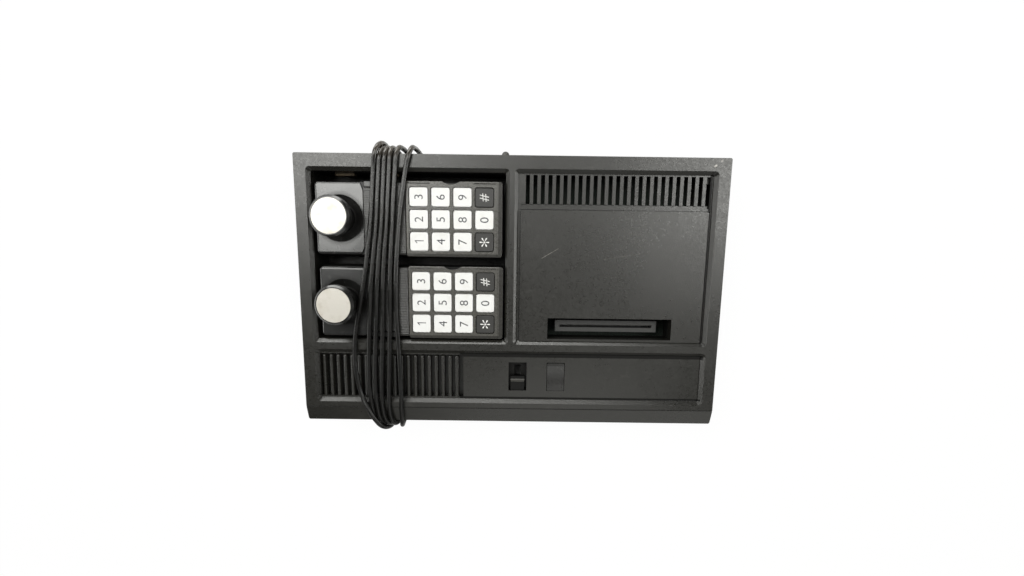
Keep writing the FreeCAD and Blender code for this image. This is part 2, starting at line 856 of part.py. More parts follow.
def expansion_cover():
    """Sliding cover behind the front port, with a row of finger ribs."""
    y = -half_depth + case_wall + cover_clearance
    low = port_bottom - cover_lap
    high = port_bottom + port_height + cover_lap
    plate = box(port_left - cover_lap, port_left + port_width + cover_lap, y, y + cover_thickness, low, high)
    ribs = []
    for index in range(cover_ribs):
        x = port_left + port_width - cover_rib_margin - index * cover_rib_pitch
        ribs.append(box(x, x + cover_rib_width, y - cover_rib_height, y + cover_thickness,
                        port_bottom + cover_rib_inset, port_bottom + port_height - cover_rib_inset))
    return fuse_all([plate] + ribs)


def port_shell(shrink, low, high):
    """Body of a controller port about its own axis, shrunk by the wall for its hollow."""
    x = port_shell_width / 2 - shrink
    y = port_shell_height / 2 - shrink
    return rounded_block(-x, x, -y, y, low, high, port_shell_corner - shrink)


def controller_ports():
    """Two port shells in the back wall of the well, each with its flange and nine pins."""
    ports = []
    long_row = port_pins - port_pins // 2
    for x in port_centres:
        shell = port_shell(0, 0, port_shell_depth).cut(
            port_shell(port_shell_wall, 2 * port_shell_wall, port_shell_depth + 1))
        flange = box(-port_flange_width / 2, port_flange_width / 2, -port_flange_height / 2,
                     port_flange_height / 2, -port_flange_thickness, 0)
        pins = []
        for index in range(port_pins):
            row = index // long_row
            column = index - (long_row - 1) / 2 - row * (long_row - 0.5)
            at = (column * port_pin_pitch, (0.5 - row) * port_pin_rows, port_shell_wall)
            pins.append(cylinder(port_pin_radius, port_shell_depth - port_pin_sink, at, (0, 0, 1)))
        port = fuse_all([shell, flange] + pins)
        port.rotate(FreeCAD.Vector(0, 0, 0), FreeCAD.Vector(1, 0, 0), 90)
        port.translate(FreeCAD.Vector(x, tub_back, rim_height - port_below_rim))
        ports.append(port)
    return Part.makeCompound(ports)


def power_inlet():
    """Round socket in the back wall with four pins."""
    front = half_depth - inlet_depth
    body = cylinder(inlet_radius, inlet_depth, (inlet_x, front, inlet_height), (0, 1, 0))
    hollow = cylinder(inlet_radius - inlet_wall, inlet_depth, (inlet_x, front + inlet_floor, inlet_height),
                      (0, 1, 0))
    collar = cylinder(inlet_radius + inlet_collar, inlet_wall,
                      (inlet_x, half_depth - case_wall - inlet_wall - parting_gap, inlet_height), (0, 1, 0))
    pins = []
    for index in range(inlet_pins):
        turn = 2 * math.pi * (index + 0.5) / inlet_pins
        at = (inlet_x + inlet_pin_circle * math.cos(turn), front + inlet_floor / 2,
              inlet_height + inlet_pin_circle * math.sin(turn))
        pins.append(cylinder(inlet_pin_radius, inlet_depth - inlet_floor / 2 - inlet_pin_sink, at, (0, 1, 0)))
    return fuse_all([body.fuse(collar).cut(hollow)] + pins)


def channel_lever():
    front = channel_body_back - channel_track_depth + parting_gap
    half = channel_lever_length / 2
    x = channel_x - channel_slot_length / 2 + button_clearance + half
    return box(x - half, x + half, front, half_depth - button_clearance,
               channel_height - channel_lever_height / 2,
               channel_height + channel_lever_height / 2)


def column_x(index):
    """Middle of a key column, counted from the stick's side."""
    return frame_left + frame_left_margin + (index + 0.5) * key_pitch_x


def key_hole(x, y, grow, low, high):
    """Upright block with a key's outline, grown by a clearance or a flange."""
    return rounded_block(x - key_half_x - grow, x + key_half_x + grow, y - key_half_y - grow,
                         y + key_half_y + grow, low, high, key_corner + grow)


def pad_outline(grow):
    """Upper half of a controller, grown outward by the given amount on its long sides."""
    lower = (-pad_end_flare, pad_length + pad_end_flare, -pad_outer - grow, pad_outer + grow, pad_parting)
    upper = (0, pad_length, -pad_width / 2 - grow, pad_width / 2 + grow, pad_height)
    return tapered_block(lower, upper, pad_corner, pad_corner)


def thumb_notch(low, high):
    """Cutter for the shallow arc in the back edge of the keypad, where a card is gripped."""
    radius = (notch_length ** 2 / 4 + notch_depth ** 2) / (2 * notch_depth)
    middle = (column_x(0) + column_x(3)) / 2 - notch_offset
    return cylinder(radius, high - low, (middle, frame_width / 2 - notch_depth + radius, low), (0, 0, 1))


def plate_edge():
    """Cutter for the line that ends the smooth plate round the stick, with a notch at each corner."""
    side = pad_width / 2 + 1
    inner = pad_width / 2 - plate_notch_length
    end = plate_end + plate_groove
    corners = [(end, -side), (plate_end - plate_notch_width, -side), (plate_end, -inner), (plate_end, inner),
               (plate_end - plate_notch_width, side), (end, side)]
    points = [FreeCAD.Vector(x, y, pad_height - plate_groove_depth) for x, y in corners]
    return Part.Face(Part.makePolygon(points + points[:1])).extrude(FreeCAD.Vector(0, 0, pad_height))


def front_shell():
    """Upper shell of a controller: stick dish, pivot posts, side openings and the keypad frame's seat."""
    outer = pad_outline(0)
    top_edges = [edge for edge in outer.Edges if edge.BoundBox.ZMin > pad_height - 0.01]
    outer = outer.makeFillet(pad_edge_round, top_edges)
    inner_low = (pad_wall - pad_end_flare, pad_length + pad_end_flare - pad_wall, -pad_outer + pad_wall,
                 pad_outer - pad_wall, pad_parting - 0.01)
    inner_high = (pad_wall, pad_length - pad_wall, -pad_width / 2 + pad_wall, pad_width / 2 - pad_wall,
                  pad_height - pad_wall)
    ledge = box(frame_left - pad_wall, pad_length, -pad_outer, pad_outer, ledge_bottom, pad_height)
    boss_foot = (stick_from_left, 0, dish_boss_bottom)
    boss = cylinder(dish_radius + dish_boss_wall, pad_height - dish_boss_bottom, boss_foot, (0, 0, 1))
    posts = []
    for side in (-1, 1):
        near = stick_from_left + side * post_gap
        far = near + side * post_width
        posts.append(box(min(near, far), max(near, far), -post_length / 2, post_length / 2,
                         pivot_z - post_length / 2, pad_height - 1))
    cavity = tapered_block(inner_low, inner_high, pad_inner_corner, pad_inner_corner)
    shell = outer.cut(cavity.cut(fuse_all([ledge, boss] + posts)))
    dish = Part.makeCone(dish_floor_radius, dish_radius, dish_depth,
                         FreeCAD.Vector(stick_from_left, 0, pad_height - dish_depth))
    ball = Part.makeSphere(skirt_radius + skirt_gap, FreeCAD.Vector(stick_from_left, 0, pivot_z))
    pivot_hole = cylinder(pin_radius + pin_clearance, 2 * (post_gap + post_width) + 1,
                          (stick_from_left - post_gap - post_width - 0.5, 0, pivot_z), (1, 0, 0))
    frame_seat = box(frame_left - key_clearance, pad_length + 2, -pad_outer, pad_outer, frame_bottom,
                     pad_height + 1)
    side = key_pitch_y + key_half_y + key_flange + key_clearance
    reach = key_half_x + key_flange + key_clearance
    window = box(column_x(0) - reach, column_x(3) + reach, -side, side, ledge_bottom - 1, pad_height)
    opening = cylinder(stick_opening_radius, pad_height - dish_boss_bottom, boss_foot, (0, 0, 1))
    below_dish = box(0, pad_length, -post_hole_reach, post_hole_reach, 0, dish_boss_bottom)
    tools = [dish, ball, opening, pivot_hole.common(below_dish), frame_seat, window, plate_edge(),
             thumb_notch(frame_bottom - notch_drop, pad_height)]
    for side in (-1, 1):
        inner = side_button_inner - side_button_travel - side_button_clearance
        opening = box(side_button_start - side_button_clearance,
                      side_button_start + side_button_length + side_button_clearance, inner, pad_outer + 1,
                      side_button_bottom - side_button_clearance, pad_height + 1)
        if side < 0:
            opening = opening.mirror(FreeCAD.Vector(0, 0, 0), FreeCAD.Vector(0, 1, 0))
        tools.append(opening)
    for index in range(gate_marks):
        mark = box(dish_radius - gate_mark_inset - gate_mark_length, dish_radius - gate_mark_inset,
                   -gate_mark_width / 2, gate_mark_width / 2, gate_mark_floor, pad_height)
        mark.rotate(FreeCAD.Vector(0, 0, 0), FreeCAD.Vector(0, 0, 1), 360 / gate_marks * index)
        mark.translate(FreeCAD.Vector(stick_from_left, 0, 0))
        tools.append(mark)
    return cut_all(shell, tools)


def back_shell():
    """Lower shell of a controller with posts for the keypad board and the cord's outlet."""
    top = pad_parting - pad_seam
    side = pad_outer - pad_base_inset
    low = (pad_base_inset, pad_length - pad_base_inset, -side, side, 0)
    high = (-pad_end_flare, pad_length + pad_end_flare, -pad_outer, pad_outer, top)
    inner_low = (low[0] + pad_wall, low[1] - pad_wall, low[2] + pad_wall, low[3] - pad_wall, pad_wall)
    inner_high = (high[0] + pad_wall, high[1] - pad_wall, high[2] + pad_wall, high[3] - pad_wall, top + 0.01)
    hollow = tapered_block(inner_low, inner_high, pad_inner_corner, pad_inner_corner)
    shell = tapered_block(low, high, pad_corner, pad_corner).cut(hollow)
    posts = []
    for x in (column_x(0), column_x(3)):
        for y in (-key_pitch_y, key_pitch_y):
            posts.append(cylinder(pad_post_radius, keypad_board_bottom - pad_wall / 2, (x, y, pad_wall / 2),
                                  (0, 0, 1)))
    outlet_start = (pad_length - pad_wall * 3, 0, pad_parting / 2)
    outlet = cylinder(pad_outlet_radius, pad_wall * 4, outlet_start, (1, 0, 0))
    return fuse_all([shell] + posts).cut(outlet)


def keypad_board():
    left = column_x(0) - key_half_x
    right = column_x(3) + key_half_x
    side = key_pitch_y + key_half_y + key_flange
    return box(left, right, -side, side, keypad_board_bottom, keypad_board_bottom + board_thickness)


def keypad_frame():
    """Grid round the keys, with the thumb notch and the two card slots along its back edge."""
    side = frame_width / 2
    frame = rounded_block(frame_left, pad_length, -side, side, frame_bottom, frame_top, frame_corner)
    top_edges = [edge for edge in frame.Edges if edge.BoundBox.ZMin > frame_top - 0.01]
    frame = frame.makeFillet(frame_edge_round, top_edges)
    tools = []
    for _, column, row in key_places:
        tools.append(key_hole(column_x(column), row * key_pitch_y, key_clearance, 0, frame_top + 1))
    tools.append(thumb_notch(frame_bottom - 1, frame_top + 1))
    step = pad_length - frame_step_inset
    tools.append(box(step, step + frame_step_width, -side, side, frame_top - frame_step_depth, frame_top + 1))
    for start in card_slot_centres:
        x = frame_left + start
        y = side - card_slot_inset
        tools.append(box(x - card_slot_length / 2, x + card_slot_length / 2, y - card_slot_width / 2,
                         y + card_slot_width / 2, frame_bottom + 1, frame_top + 1))
    return cut_all(frame, tools)


def key(column, row):
    """One key: cap with round corners on a flange that stops under the frame."""
    x = column_x(column)
    y = row * key_pitch_y
    top = frame_top - key_sink
    flange_top = frame_bottom - key_stop_gap
    cap = key_hole(x, y, 0, flange_top - key_flange_thickness / 2, top)
    top_edges = [edge for edge in cap.Edges if edge.BoundBox.ZMin > top - 0.01]
    cap = cap.makeFillet(key_edge_round, top_edges)
    return cap.fuse(key_hole(x, y, key_flange, flange_top - key_flange_thickness, flange_top))


def side_button():
    """Side button at the back edge, following the flare of the shell and standing a little proud."""
    end = side_button_start + side_button_length
    body = pad_outline(side_button_stand).common(
        box(side_button_start, end, side_button_inner, pad_outer + 2, side_button_bottom,
            pad_height - side_button_drop))
    flange = box(side_button_start - side_button_flange, end + side_button_flange,
                 side_button_wall - side_button_flange, side_button_wall,
                 side_button_bottom - side_button_flange,
                 side_button_flange_top)
    return body.fuse(flange)


def stick():
    """Knob, neck, round skirt and shaft in one turned piece, with the cross pin that sits in the ring."""
    def ring_point(radius, angle):
        turn = math.radians(angle)
        return FreeCAD.Vector(radius * math.sin(turn), 0, pivot_z + radius * math.cos(turn))

    def line(*points):
        return [Part.makeLine(FreeCAD.Vector(*first), FreeCAD.Vector(*second))
                for first, second in zip(points, points[1:])]

    cap_low = cap_top - cap_height
    inner_radius = skirt_radius - skirt_wall
    neck_angle = math.degrees(math.asin(neck_radius / skirt_radius))
    shaft_angle = math.degrees(math.asin(shaft_radius / inner_radius))
    neck_foot = ring_point(skirt_radius, neck_angle)
    shaft_top = ring_point(inner_radius, shaft_angle)
    skirt_outer = Part.Arc(neck_foot, ring_point(skirt_radius, (neck_angle + skirt_edge_angle) / 2),
                           ring_point(skirt_radius, skirt_edge_angle)).toShape()
    skirt_inner = Part.Arc(ring_point(inner_radius, skirt_edge_angle),
                           ring_point(inner_radius, (shaft_angle + skirt_edge_angle) / 2),
                           shaft_top).toShape()
    pocket = disc_radius + disc_clearance
    pocket_floor = cap_top - disc_thickness
    shaft_low = pivot_z - shaft_below_pivot
    edges = line((0, 0, pocket_floor), (pocket, 0, pocket_floor), (pocket, 0, cap_top),
                 (cap_radius - cap_edge_round, 0, cap_top), (cap_radius, 0, cap_top - cap_edge_round),
                 (cap_radius, 0, cap_low + 1.0), (cap_radius - 1.0, 0, cap_low),
                 (neck_radius + neck_flare, 0, cap_low), (neck_radius, 0, cap_low - neck_flare),
                 (neck_foot.x, 0, neck_foot.z))
    edges.append(skirt_outer)
    edges += line(tuple(ring_point(skirt_radius, skirt_edge_angle)), tuple(ring_point(inner_radius,
                  skirt_edge_angle)))
    edges.append(skirt_inner)
    edges += line(tuple(shaft_top), (shaft_radius, 0, shaft_low), (0, 0, shaft_low), (0, 0, pocket_floor))
    body = Part.Face(Part.Wire(edges)).revolve(FreeCAD.Vector(0, 0, 0), FreeCAD.Vector(0, 0, 1), 360)
    pin = cylinder(pin_radius, 2 * ring_outer - 0.4, (0, -ring_outer + 0.2, pivot_z), (0, 1, 0))
    return body.fuse(pin).translated(FreeCAD.Vector(stick_from_left, 0, 0))


def knob_disc():
    return cylinder(disc_radius, disc_thickness, (stick_from_left, 0, cap_top - disc_thickness), (0, 0, 1))


def gimbal_ring():
    """Ring under the skirt: it tilts on two pins and carries the stick's cross pin."""
    low = pivot_z - ring_height / 2
    ring = cylinder(ring_outer, ring_height, (0, 0, low), (0, 0, 1))
    reach = post_gap + post_width - 0.3
    pins = cylinder(pin_radius, 2 * reach, (-reach, 0, pivot_z), (1, 0, 0))
    hole = cylinder(ring_inner, ring_height + 2, (0, 0, low - 1), (0, 0, 1))
    cross = cylinder(pin_radius + pin_clearance, 2 * ring_outer + 2, (0, -ring_outer - 1, pivot_z), (0, 1, 0))
    return ring.fuse(pins).cut(hole).cut(cross).translated(FreeCAD.Vector(stick_from_left, 0, 0))


def leaned(shape, left, back):
    """Tilt about the pivot: first sideways on the cross pin, then back on the ring's pins."""
    pivot = FreeCAD.Vector(stick_from_left, 0, pivot_z)
    shape = shape.copy()
    shape.rotate(pivot, FreeCAD.Vector(0, 1, 0), -left)
    shape.rotate(pivot, FreeCAD.Vector(1, 0, 0), -back)
    return shape


def controller(name, left, centre, lean_left, lean_back):
    """All pieces of one controller, stowed in the well with its stick to the left."""
    place = FreeCAD.Vector(left, centre, well_floor)
    pieces = {
        "front_shell": front_shell(),
        "back_shell": back_shell(),
        "keypad_board": keypad_board(),
        "keypad_frame": keypad_frame(),
        "stick": leaned(stick(), lean_left, lean_back),
        "knob_disc": leaned(knob_disc(), lean_left, lean_back),
        "gimbal_ring": leaned(gimbal_ring(), 0, lean_back),
        "side_button_back": side_button(),
        "side_button_front": side_button().mirror(FreeCAD.Vector(0, 0, 0), FreeCAD.Vector(0, 1, 0)),
    }
    for label, column, row in key_places:
        pieces["key_" + label] = key(column, row)
    return {name + "_" + piece: shape.translated(place) for piece, shape in pieces.items()}


def strain_relief():
    """Elbow of rubber that leads the lead out of the back wall and down."""
    centre = FreeCAD.Vector(relief_x, half_depth, relief_height)
    inside = half_depth - case_wall
    collar = cylinder(relief_root_radius + relief_collar, relief_collar,
                      (relief_x, inside - relief_collar, relief_height), (0, 1, 0))
    plug = cylinder(relief_root_radius, case_wall + 0.5, (relief_x, inside - 0.5, relief_height), (0, 1, 0))
    circle = Part.Face(Part.Wire(Part.makeCircle(relief_bend_radius, centre, FreeCAD.Vector(0, 1, 0))))
    bend = circle.revolve(FreeCAD.Vector(relief_x, half_depth, relief_height - relief_bend),
                          FreeCAD.Vector(1, 0, 0), -90)
    taper = Part.makeCone(relief_tip_radius, relief_bend_radius, relief_length,
                          FreeCAD.Vector(relief_x, half_depth + relief_bend,
                                         relief_height - relief_bend - relief_length))
    return fuse_all([collar, plug, bend, taper])


def tube(points, radius, label):
    """Round tube of straight runs joined by arcs, each as large as its two runs allow."""
    points = [FreeCAD.Vector(*point) for point in points]
    edges = []
    start = points[0]
    for before, corner, after in zip(points, points[1:], points[2:]):
        into = (corner - before).normalize()
        out = (after - corner).normalize()
        turn = into.getAngle(out)
        reach = 0.45 * min((corner - before).Length, (after - corner).Length)
        first = corner - into * reach
        last = corner + out * reach
        bend = reach / math.tan(turn / 2)
        inward = (out - into).normalize()
        middle = corner + inward * (bend / math.cos(turn / 2) - bend)
        edges.append(Part.LineSegment(start, first).toShape())
        edges.append(Part.Arc(first, middle, last).toShape())
        start = last
        print(label, "bend radius", round(bend, 1))
    edges.append(Part.LineSegment(start, points[-1]).toShape())
    path = Part.Wire(edges)
    profile = Part.Wire(Part.makeCircle(radius, points[0], points[1] - points[0]))
    solid = path.makePipeShell([profile], True, False)
    print(label, "length", round(path.Length, 1), "volume ratio",
          round(solid.Volume / (math.pi * radius ** 2 * path.Length), 4))
    return solid


def winding_ring(side):
    """Closed loop round the case, seen from the side, with round corners."""
    y0 = -half_depth - lead_front_slack + side
    y1 = half_depth + lead_back_slack - side
    z0 = lead_floor_gap + side
    z1 = rim_height + lead_gap + lead_layer - side
    block = rounded_block(z0, z1, y0, y1, 0, winding_reach, winding_corner - side)
    block.rotate(FreeCAD.Vector(0, 0, 0), FreeCAD.Vector(0, 1, 0), -90)
    return block


def lead_winding():
    """Outer form of the turns of the lead wound round the case from back to front."""
    ring = winding_ring(0).cut(winding_ring(lead_layer))
    back = half_depth + lead_back_slack + 1
    front = -half_depth - lead_front_slack - 1
    shoulder = half_depth - winding_back_shoulder
    plan = [(winding_right, back), (winding_left, back), (winding_left, shoulder)]
    plan += [(margin - half_width, share * half_depth) for share, margin in winding_left_edge]
    plan += [(winding_front_left - half_width, front), (winding_front_right - half_width, front),
             (winding_waist_margin - half_width, winding_waist_share * half_depth), (winding_right, shoulder)]
    points = [FreeCAD.Vector(x, y, -1) for x, y in plan]
    prism = Part.Face(Part.makePolygon(points + points[:1])).extrude(FreeCAD.Vector(0, 0, rim_height * 2))
    return ring.common(prism)


def lead_run_y():
    return half_depth + relief_bend


def tail_points():
    """Middle line of the lead from its strain relief to the winding."""
    y = lead_run_y()
    corner = lead_rest + lead_corner_run
    return [(relief_x, y, relief_height - relief_bend - relief_length), (relief_x, y, corner),
            (relief_x - lead_corner_run, y, lead_rest),
            (winding_right + 2 * tail_run, y + lead_sway, lead_rest),
            (winding_right + tail_run, y, lead_rest), (winding_right, y, lead_rest)]


def end_points():
    """Middle line of the lead from the winding to its plug."""
    y = lead_run_y()
    return [(winding_left, y, lead_rest), (winding_left - end_run, y, lead_rest),
            (winding_left - 2 * end_run, y + lead_sway, lead_plug_rest),
            (winding_left - 3 * end_run, y + lead_sway, lead_plug_rest)]


def lead_free_runs():
    """The lead from its strain relief to the winding, and from the winding to its plug."""
    tail = tube(tail_points(), lead_radius, "tail")
    end = tube(end_points(), lead_radius, "end")
    return Part.makeCompound([tail, end])


def lead_plug():
    """Phono plug: tapered boot, skirt and centre pin."""
    x, y, z = end_points()[-1]
    boot = lead_plug_length * lead_plug_skirt
    end = lead_plug_length + lead_tip_length
    profile = [(0, 0), (lead_radius + lead_plug_step, 0), (lead_plug_radius - lead_plug_step, boot),
               (lead_plug_radius, boot + lead_plug_step), (lead_plug_radius, lead_plug_length),
               (lead_tip_radius, lead_plug_length), (lead_tip_radius, end - lead_tip_radius / 2), (0, end)]
    points = [FreeCAD.Vector(x - along, y, z + radius) for radius, along in profile]
    face = Part.Face(Part.makePolygon(points + points[:1]))
    return face.revolve(FreeCAD.Vector(x, y, z), FreeCAD.Vector(1, 0, 0), 360)


parts = {
    "top_housing": top_housing(),
    "base_housing": base_housing(),
    "rubber_feet": rubber_feet(),
    "case_screws": case_screws(),
    "main_board": main_board(),
    "rf_shield": rf_shield(),
    "cartridge_connector": cartridge_connector(),
    "power_switch_body": power_switch_body(),
    "power_slider": power_slider(),
    "reset_button": reset_button(),
    "expansion_cover": expansion_cover(),
    "controller_ports": controller_ports(),
    "power_inlet": power_inlet(),
    "channel_lever": channel_lever(),
    "lead_strain_relief": strain_relief(),
    "lead_free_runs": lead_free_runs(),
    "lead_winding": lead_winding(),
    "lead_plug": lead_plug(),
}
parts.update(controller("upper", upper_pad_left, upper_pad_centre, upper_lean_left, upper_lean_back))
parts.update(controller("lower", upper_pad_left + lower_pad_shift, lower_pad_centre,
                        lower_lean_left, lower_lean_back))

os.makedirs("parts", exist_ok=True)
for node, shape in parts.items():
    shape.exportStep("parts/" + node + ".step")
    if not shape.isValid():
        print("invalid", node)
print(len(parts), "nodes")
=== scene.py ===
"""Looks of a home video game console with two hand controllers stowed in its well."""

import logging
import math
from dataclasses import dataclass
from enum import Enum
from typing import Optional, Sequence, Union

import bmesh
import bpy
from mathutils import Matrix, Vector


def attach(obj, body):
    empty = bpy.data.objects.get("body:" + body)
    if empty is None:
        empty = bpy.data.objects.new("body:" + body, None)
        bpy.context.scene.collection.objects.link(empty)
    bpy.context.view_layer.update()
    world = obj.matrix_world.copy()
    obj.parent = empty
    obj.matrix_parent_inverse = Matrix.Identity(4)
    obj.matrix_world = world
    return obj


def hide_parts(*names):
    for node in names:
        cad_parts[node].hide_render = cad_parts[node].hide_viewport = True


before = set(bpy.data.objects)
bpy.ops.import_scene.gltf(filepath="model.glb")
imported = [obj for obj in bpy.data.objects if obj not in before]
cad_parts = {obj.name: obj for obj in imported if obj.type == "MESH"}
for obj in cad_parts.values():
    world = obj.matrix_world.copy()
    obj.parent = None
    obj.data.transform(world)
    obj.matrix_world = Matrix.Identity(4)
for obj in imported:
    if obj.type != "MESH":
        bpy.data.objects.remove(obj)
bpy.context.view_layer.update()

log = logging.getLogger("console")
MM = 0.001
Colour = tuple[float, float, float]
Point = tuple[float, float, float]
Span = tuple[float, float]

CASE_X: Span = (-178.0, 178.0)
CASE_Y: Span = (-114.0, 114.0)
CASE_Z: Span = (0.0, 58.0)
DUST: Colour = (0.16, 0.15, 0.135)
SPECK: Colour = (0.2, 0.185, 0.165)
BARE_SCRATCH: Colour = (0.34, 0.32, 0.29)
WHITE_PAPER: Colour = (0.8, 0.8, 0.78)


# Shader maths

class Wire:
    """A shader socket that Python's own operators work on."""

    def __init__(self, tree: "Tree", socket: bpy.types.NodeSocket) -> None:
        """Keep the socket and the tree it belongs to."""
        self.tree = tree
        self.socket = socket

    def _math(self, operation: str, *values: Union["Wire", float]) -> "Wire":
        """Add one Math node.

        Args:
            operation: the Math node's operation.
            values: its inputs in order.

        Returns:
            The node's output.
        """
        node = self.tree.node("ShaderNodeMath", {"operation": operation}, dict(enumerate(values)))
        return Wire(self.tree, node.outputs[0])

    def __add__(self, other: Union["Wire", float]) -> "Wire":
        """Sum."""
        return self._math("ADD", self, other)

    __radd__ = __add__

    def __sub__(self, other: Union["Wire", float]) -> "Wire":
        """Difference."""
        return self._math("SUBTRACT", self, other)

    def __rsub__(self, other: float) -> "Wire":
        """Difference from a number."""
        return self._math("SUBTRACT", other, self)

    def __mul__(self, other: Union["Wire", float]) -> "Wire":
        """Product."""
        return self._math("MULTIPLY", self, other)

    __rmul__ = __mul__

    def __gt__(self, other: Union["Wire", float]) -> "Wire":
        """One where this is greater."""
        return self._math("GREATER_THAN", self, other)

    def __lt__(self, other: Union["Wire", float]) -> "Wire":
        """One where this is less."""
        return self._math("LESS_THAN", self, other)

    def abs(self) -> "Wire":
        """Value without its sign."""
        return self._math("ABSOLUTE", self)

    def sin(self) -> "Wire":
        """Sine."""
        return self._math("SINE", self)

    def smooth(self, low: float, high: float) -> "Wire":
        """Rise smoothly from 0 to 1 as the value goes from low to high.

        Args:
            low: value that gives 0.
            high: value that gives 1.

        Returns:
            The eased value.
        """
        node = self.tree.node("ShaderNodeMapRange", {"interpolation_type": "SMOOTHSTEP", "clamp": True},
                              {"Value": self, "From Min": low, "From Max": high})
        return Wire(self.tree, node.outputs[0])

    def within(self, span: Span) -> "Wire":
        """One between two places, which are in millimetres."""
        return (self > span[0] * MM) * (self < span[1] * MM)

    def rise(self, span: Span) -> "Wire":
        """Smooth rise from 0 to 1 between two places, which are in millimetres."""
        return self.smooth(span[0] * MM, span[1] * MM)

    def most(self, other: Union["Wire", float]) -> "Wire":
        """Larger of two values."""
        return self._math("MAXIMUM", self, other)


class Tree:
    """Node tree of one material, with short ways to the nodes that the finishes use."""

    def __init__(self, name: str) -> None:
        """Make a new material with one Principled shader."""
        self.material = bpy.data.materials.new(name)
        self.material.use_nodes = True
        self.nodes = self.material.node_tree.nodes
        self.links = self.material.node_tree.links
        self.shader = self.nodes["Principled BSDF"]

    def node(self, kind: str, settings: Optional[dict] = None,
             values: Optional[dict] = None) -> bpy.types.Node:
        """Make a node.

        Args:
            kind: the node's type.
            settings: properties that are set first.
            values: sockets, by name or number, with a number, colour or wire each.

        Returns:
            The new node.
        """
        node = self.nodes.new(kind)
        for key, value in (settings or {}).items():
            setattr(node, key, value)
        for key, value in (values or {}).items():
            self.put(node.inputs[key], value)
        return node

    def put(self, socket: bpy.types.NodeSocket, value: Union[Wire, float, tuple]) -> None:
        """Link a wire to a socket, or set its number or colour.

        Args:
            socket: the input.
            value: what goes in.
        """
        if isinstance(value, Wire):
            self.links.new(value.socket, socket)
        elif isinstance(value, tuple) and socket.type == "RGBA":
            socket.default_value = (*value, 1.0)
        else:
            socket.default_value = value

    def place(self, scale: Point = (1, 1, 1)) -> Wire:
        """Object coordinates, with a factor on each.

        Args:
            scale: the three factors.

        Returns:
            The coordinates.
        """
        coordinates = self.node("ShaderNodeTexCoord")
        mapping = self.node("ShaderNodeMapping", None, {
            "Vector": Wire(self, coordinates.outputs["Object"]), "Scale": scale})
        return Wire(self, mapping.outputs[0])

    def axes(self) -> tuple[Wire, Wire, Wire]:
        """The three object coordinates in metres."""
        split = self.node("ShaderNodeSeparateXYZ", None, {"Vector": self.place()})
        return tuple(Wire(self, socket) for socket in split.outputs)

    def noise(self, scale: float, detail: float = 2.0, stretch: Point = (1, 1, 1),
              rough: float = 0.5) -> Wire:
        """Cloudy noise from 0 to 1.

        Args:
            scale: patches per metre.
            detail: octaves.
            stretch: factor on each coordinate.
            rough: weight of the finer octaves.

        Returns:
            The noise.
        """
        node = self.node("ShaderNodeTexNoise", None, {
            "Vector": self.place(stretch), "Scale": scale, "Detail": detail, "Roughness": rough})
        return Wire(self, node.outputs[0])

    def cells(self, scale: float) -> Wire:
        """Distance to scattered points, as many per metre as the scale says."""
        node = self.node("ShaderNodeTexVoronoi", None, {"Vector": self.place(), "Scale": scale})
        return Wire(self, node.outputs["Distance"])

    def blend(self, factor: Union[Wire, float], low: Union[Wire, Colour],
              high: Union[Wire, Colour]) -> Wire:
        """Mix two colours, the second as far as the factor says."""
        node = self.node("ShaderNodeMix", {"data_type": "RGBA"}, {0: factor, 6: low, 7: high})
        return Wire(self, node.outputs[2])

    def stroke(self, start: Span, end: Span, half_width: float) -> Wire:
        """Mask of one thin straight mark seen from above.

        Args:
            start: X and Y of one end in millimetres.
            end: X and Y of the other end.
            half_width: half its width.

        Returns:
            1 on the mark and 0 off it.
        """
        x, y, _ = self.axes()
        run = Vector(end) - Vector(start)
        along = run.normalized()
        from_x = x * (1 / MM) - start[0]
        from_y = y * (1 / MM) - start[1]
        ahead = from_x * along.x + from_y * along.y
        aside = (from_x * -along.y + from_y * along.x).abs()
        inside = (ahead > 0.0) * (ahead < run.length)
        return inside * (1.0 - aside.smooth(half_width * 0.4, half_width))

    def dress(self, colour: Union[Wire, Colour], roughness: Union[Wire, float],
              height: Optional[Wire] = None, depth: float = 0.0, metal: Union[Wire, float] = 0.0,
              coat: float = 0.0, specular: float = 0.5) -> bpy.types.Material:
        """Set the shader.

        Args:
            colour: base colour.
            roughness: roughness.
            height: relief from 0 to 1.
            depth: height of the relief in metres.
            metal: metallic share.
            coat: coat weight.
            specular: specular level.

        Returns:
            The finished material.
        """
        self.put(self.shader.inputs["Base Color"], colour)
        self.put(self.shader.inputs["Roughness"], roughness)
        self.put(self.shader.inputs["Metallic"], metal)
        self.put(self.shader.inputs["Coat Weight"], coat)
        self.put(self.shader.inputs["Specular IOR Level"], specular)
        if height is not None:
            bump = self.node("ShaderNodeBump", None, {"Height": height, "Strength": 1.0, "Distance": depth})
            self.links.new(bump.outputs[0], self.shader.inputs["Normal"])
        return self.material

    def paint_shade(self, mask: Wire, colour: Colour = (0.0022, 0.0021, 0.0019), specular: float = 0.1) -> None:
        """Paint shade: turn what lies deep, where no light gets to, into a near-black with hardly any sheen.

        Args:
            mask: 1 where the shade is painted in full.
            colour: colour of the painted shade.
            specular: specular level of the painted shade.
        """
        # near-black shader that is mixed in as painted shade
        deep = self.node("ShaderNodeBsdfPrincipled", None, {
            "Base Color": colour, "Roughness": 0.6, "Specular IOR Level": specular})
        mixed = self.node("ShaderNodeMixShader", None, {0: mask})
        self.links.new(self.shader.outputs[0], mixed.inputs[1])
        self.links.new(deep.outputs[0], mixed.inputs[2])
        self.links.new(mixed.outputs[0], self.nodes["Material Output"].inputs["Surface"])


# Finishes

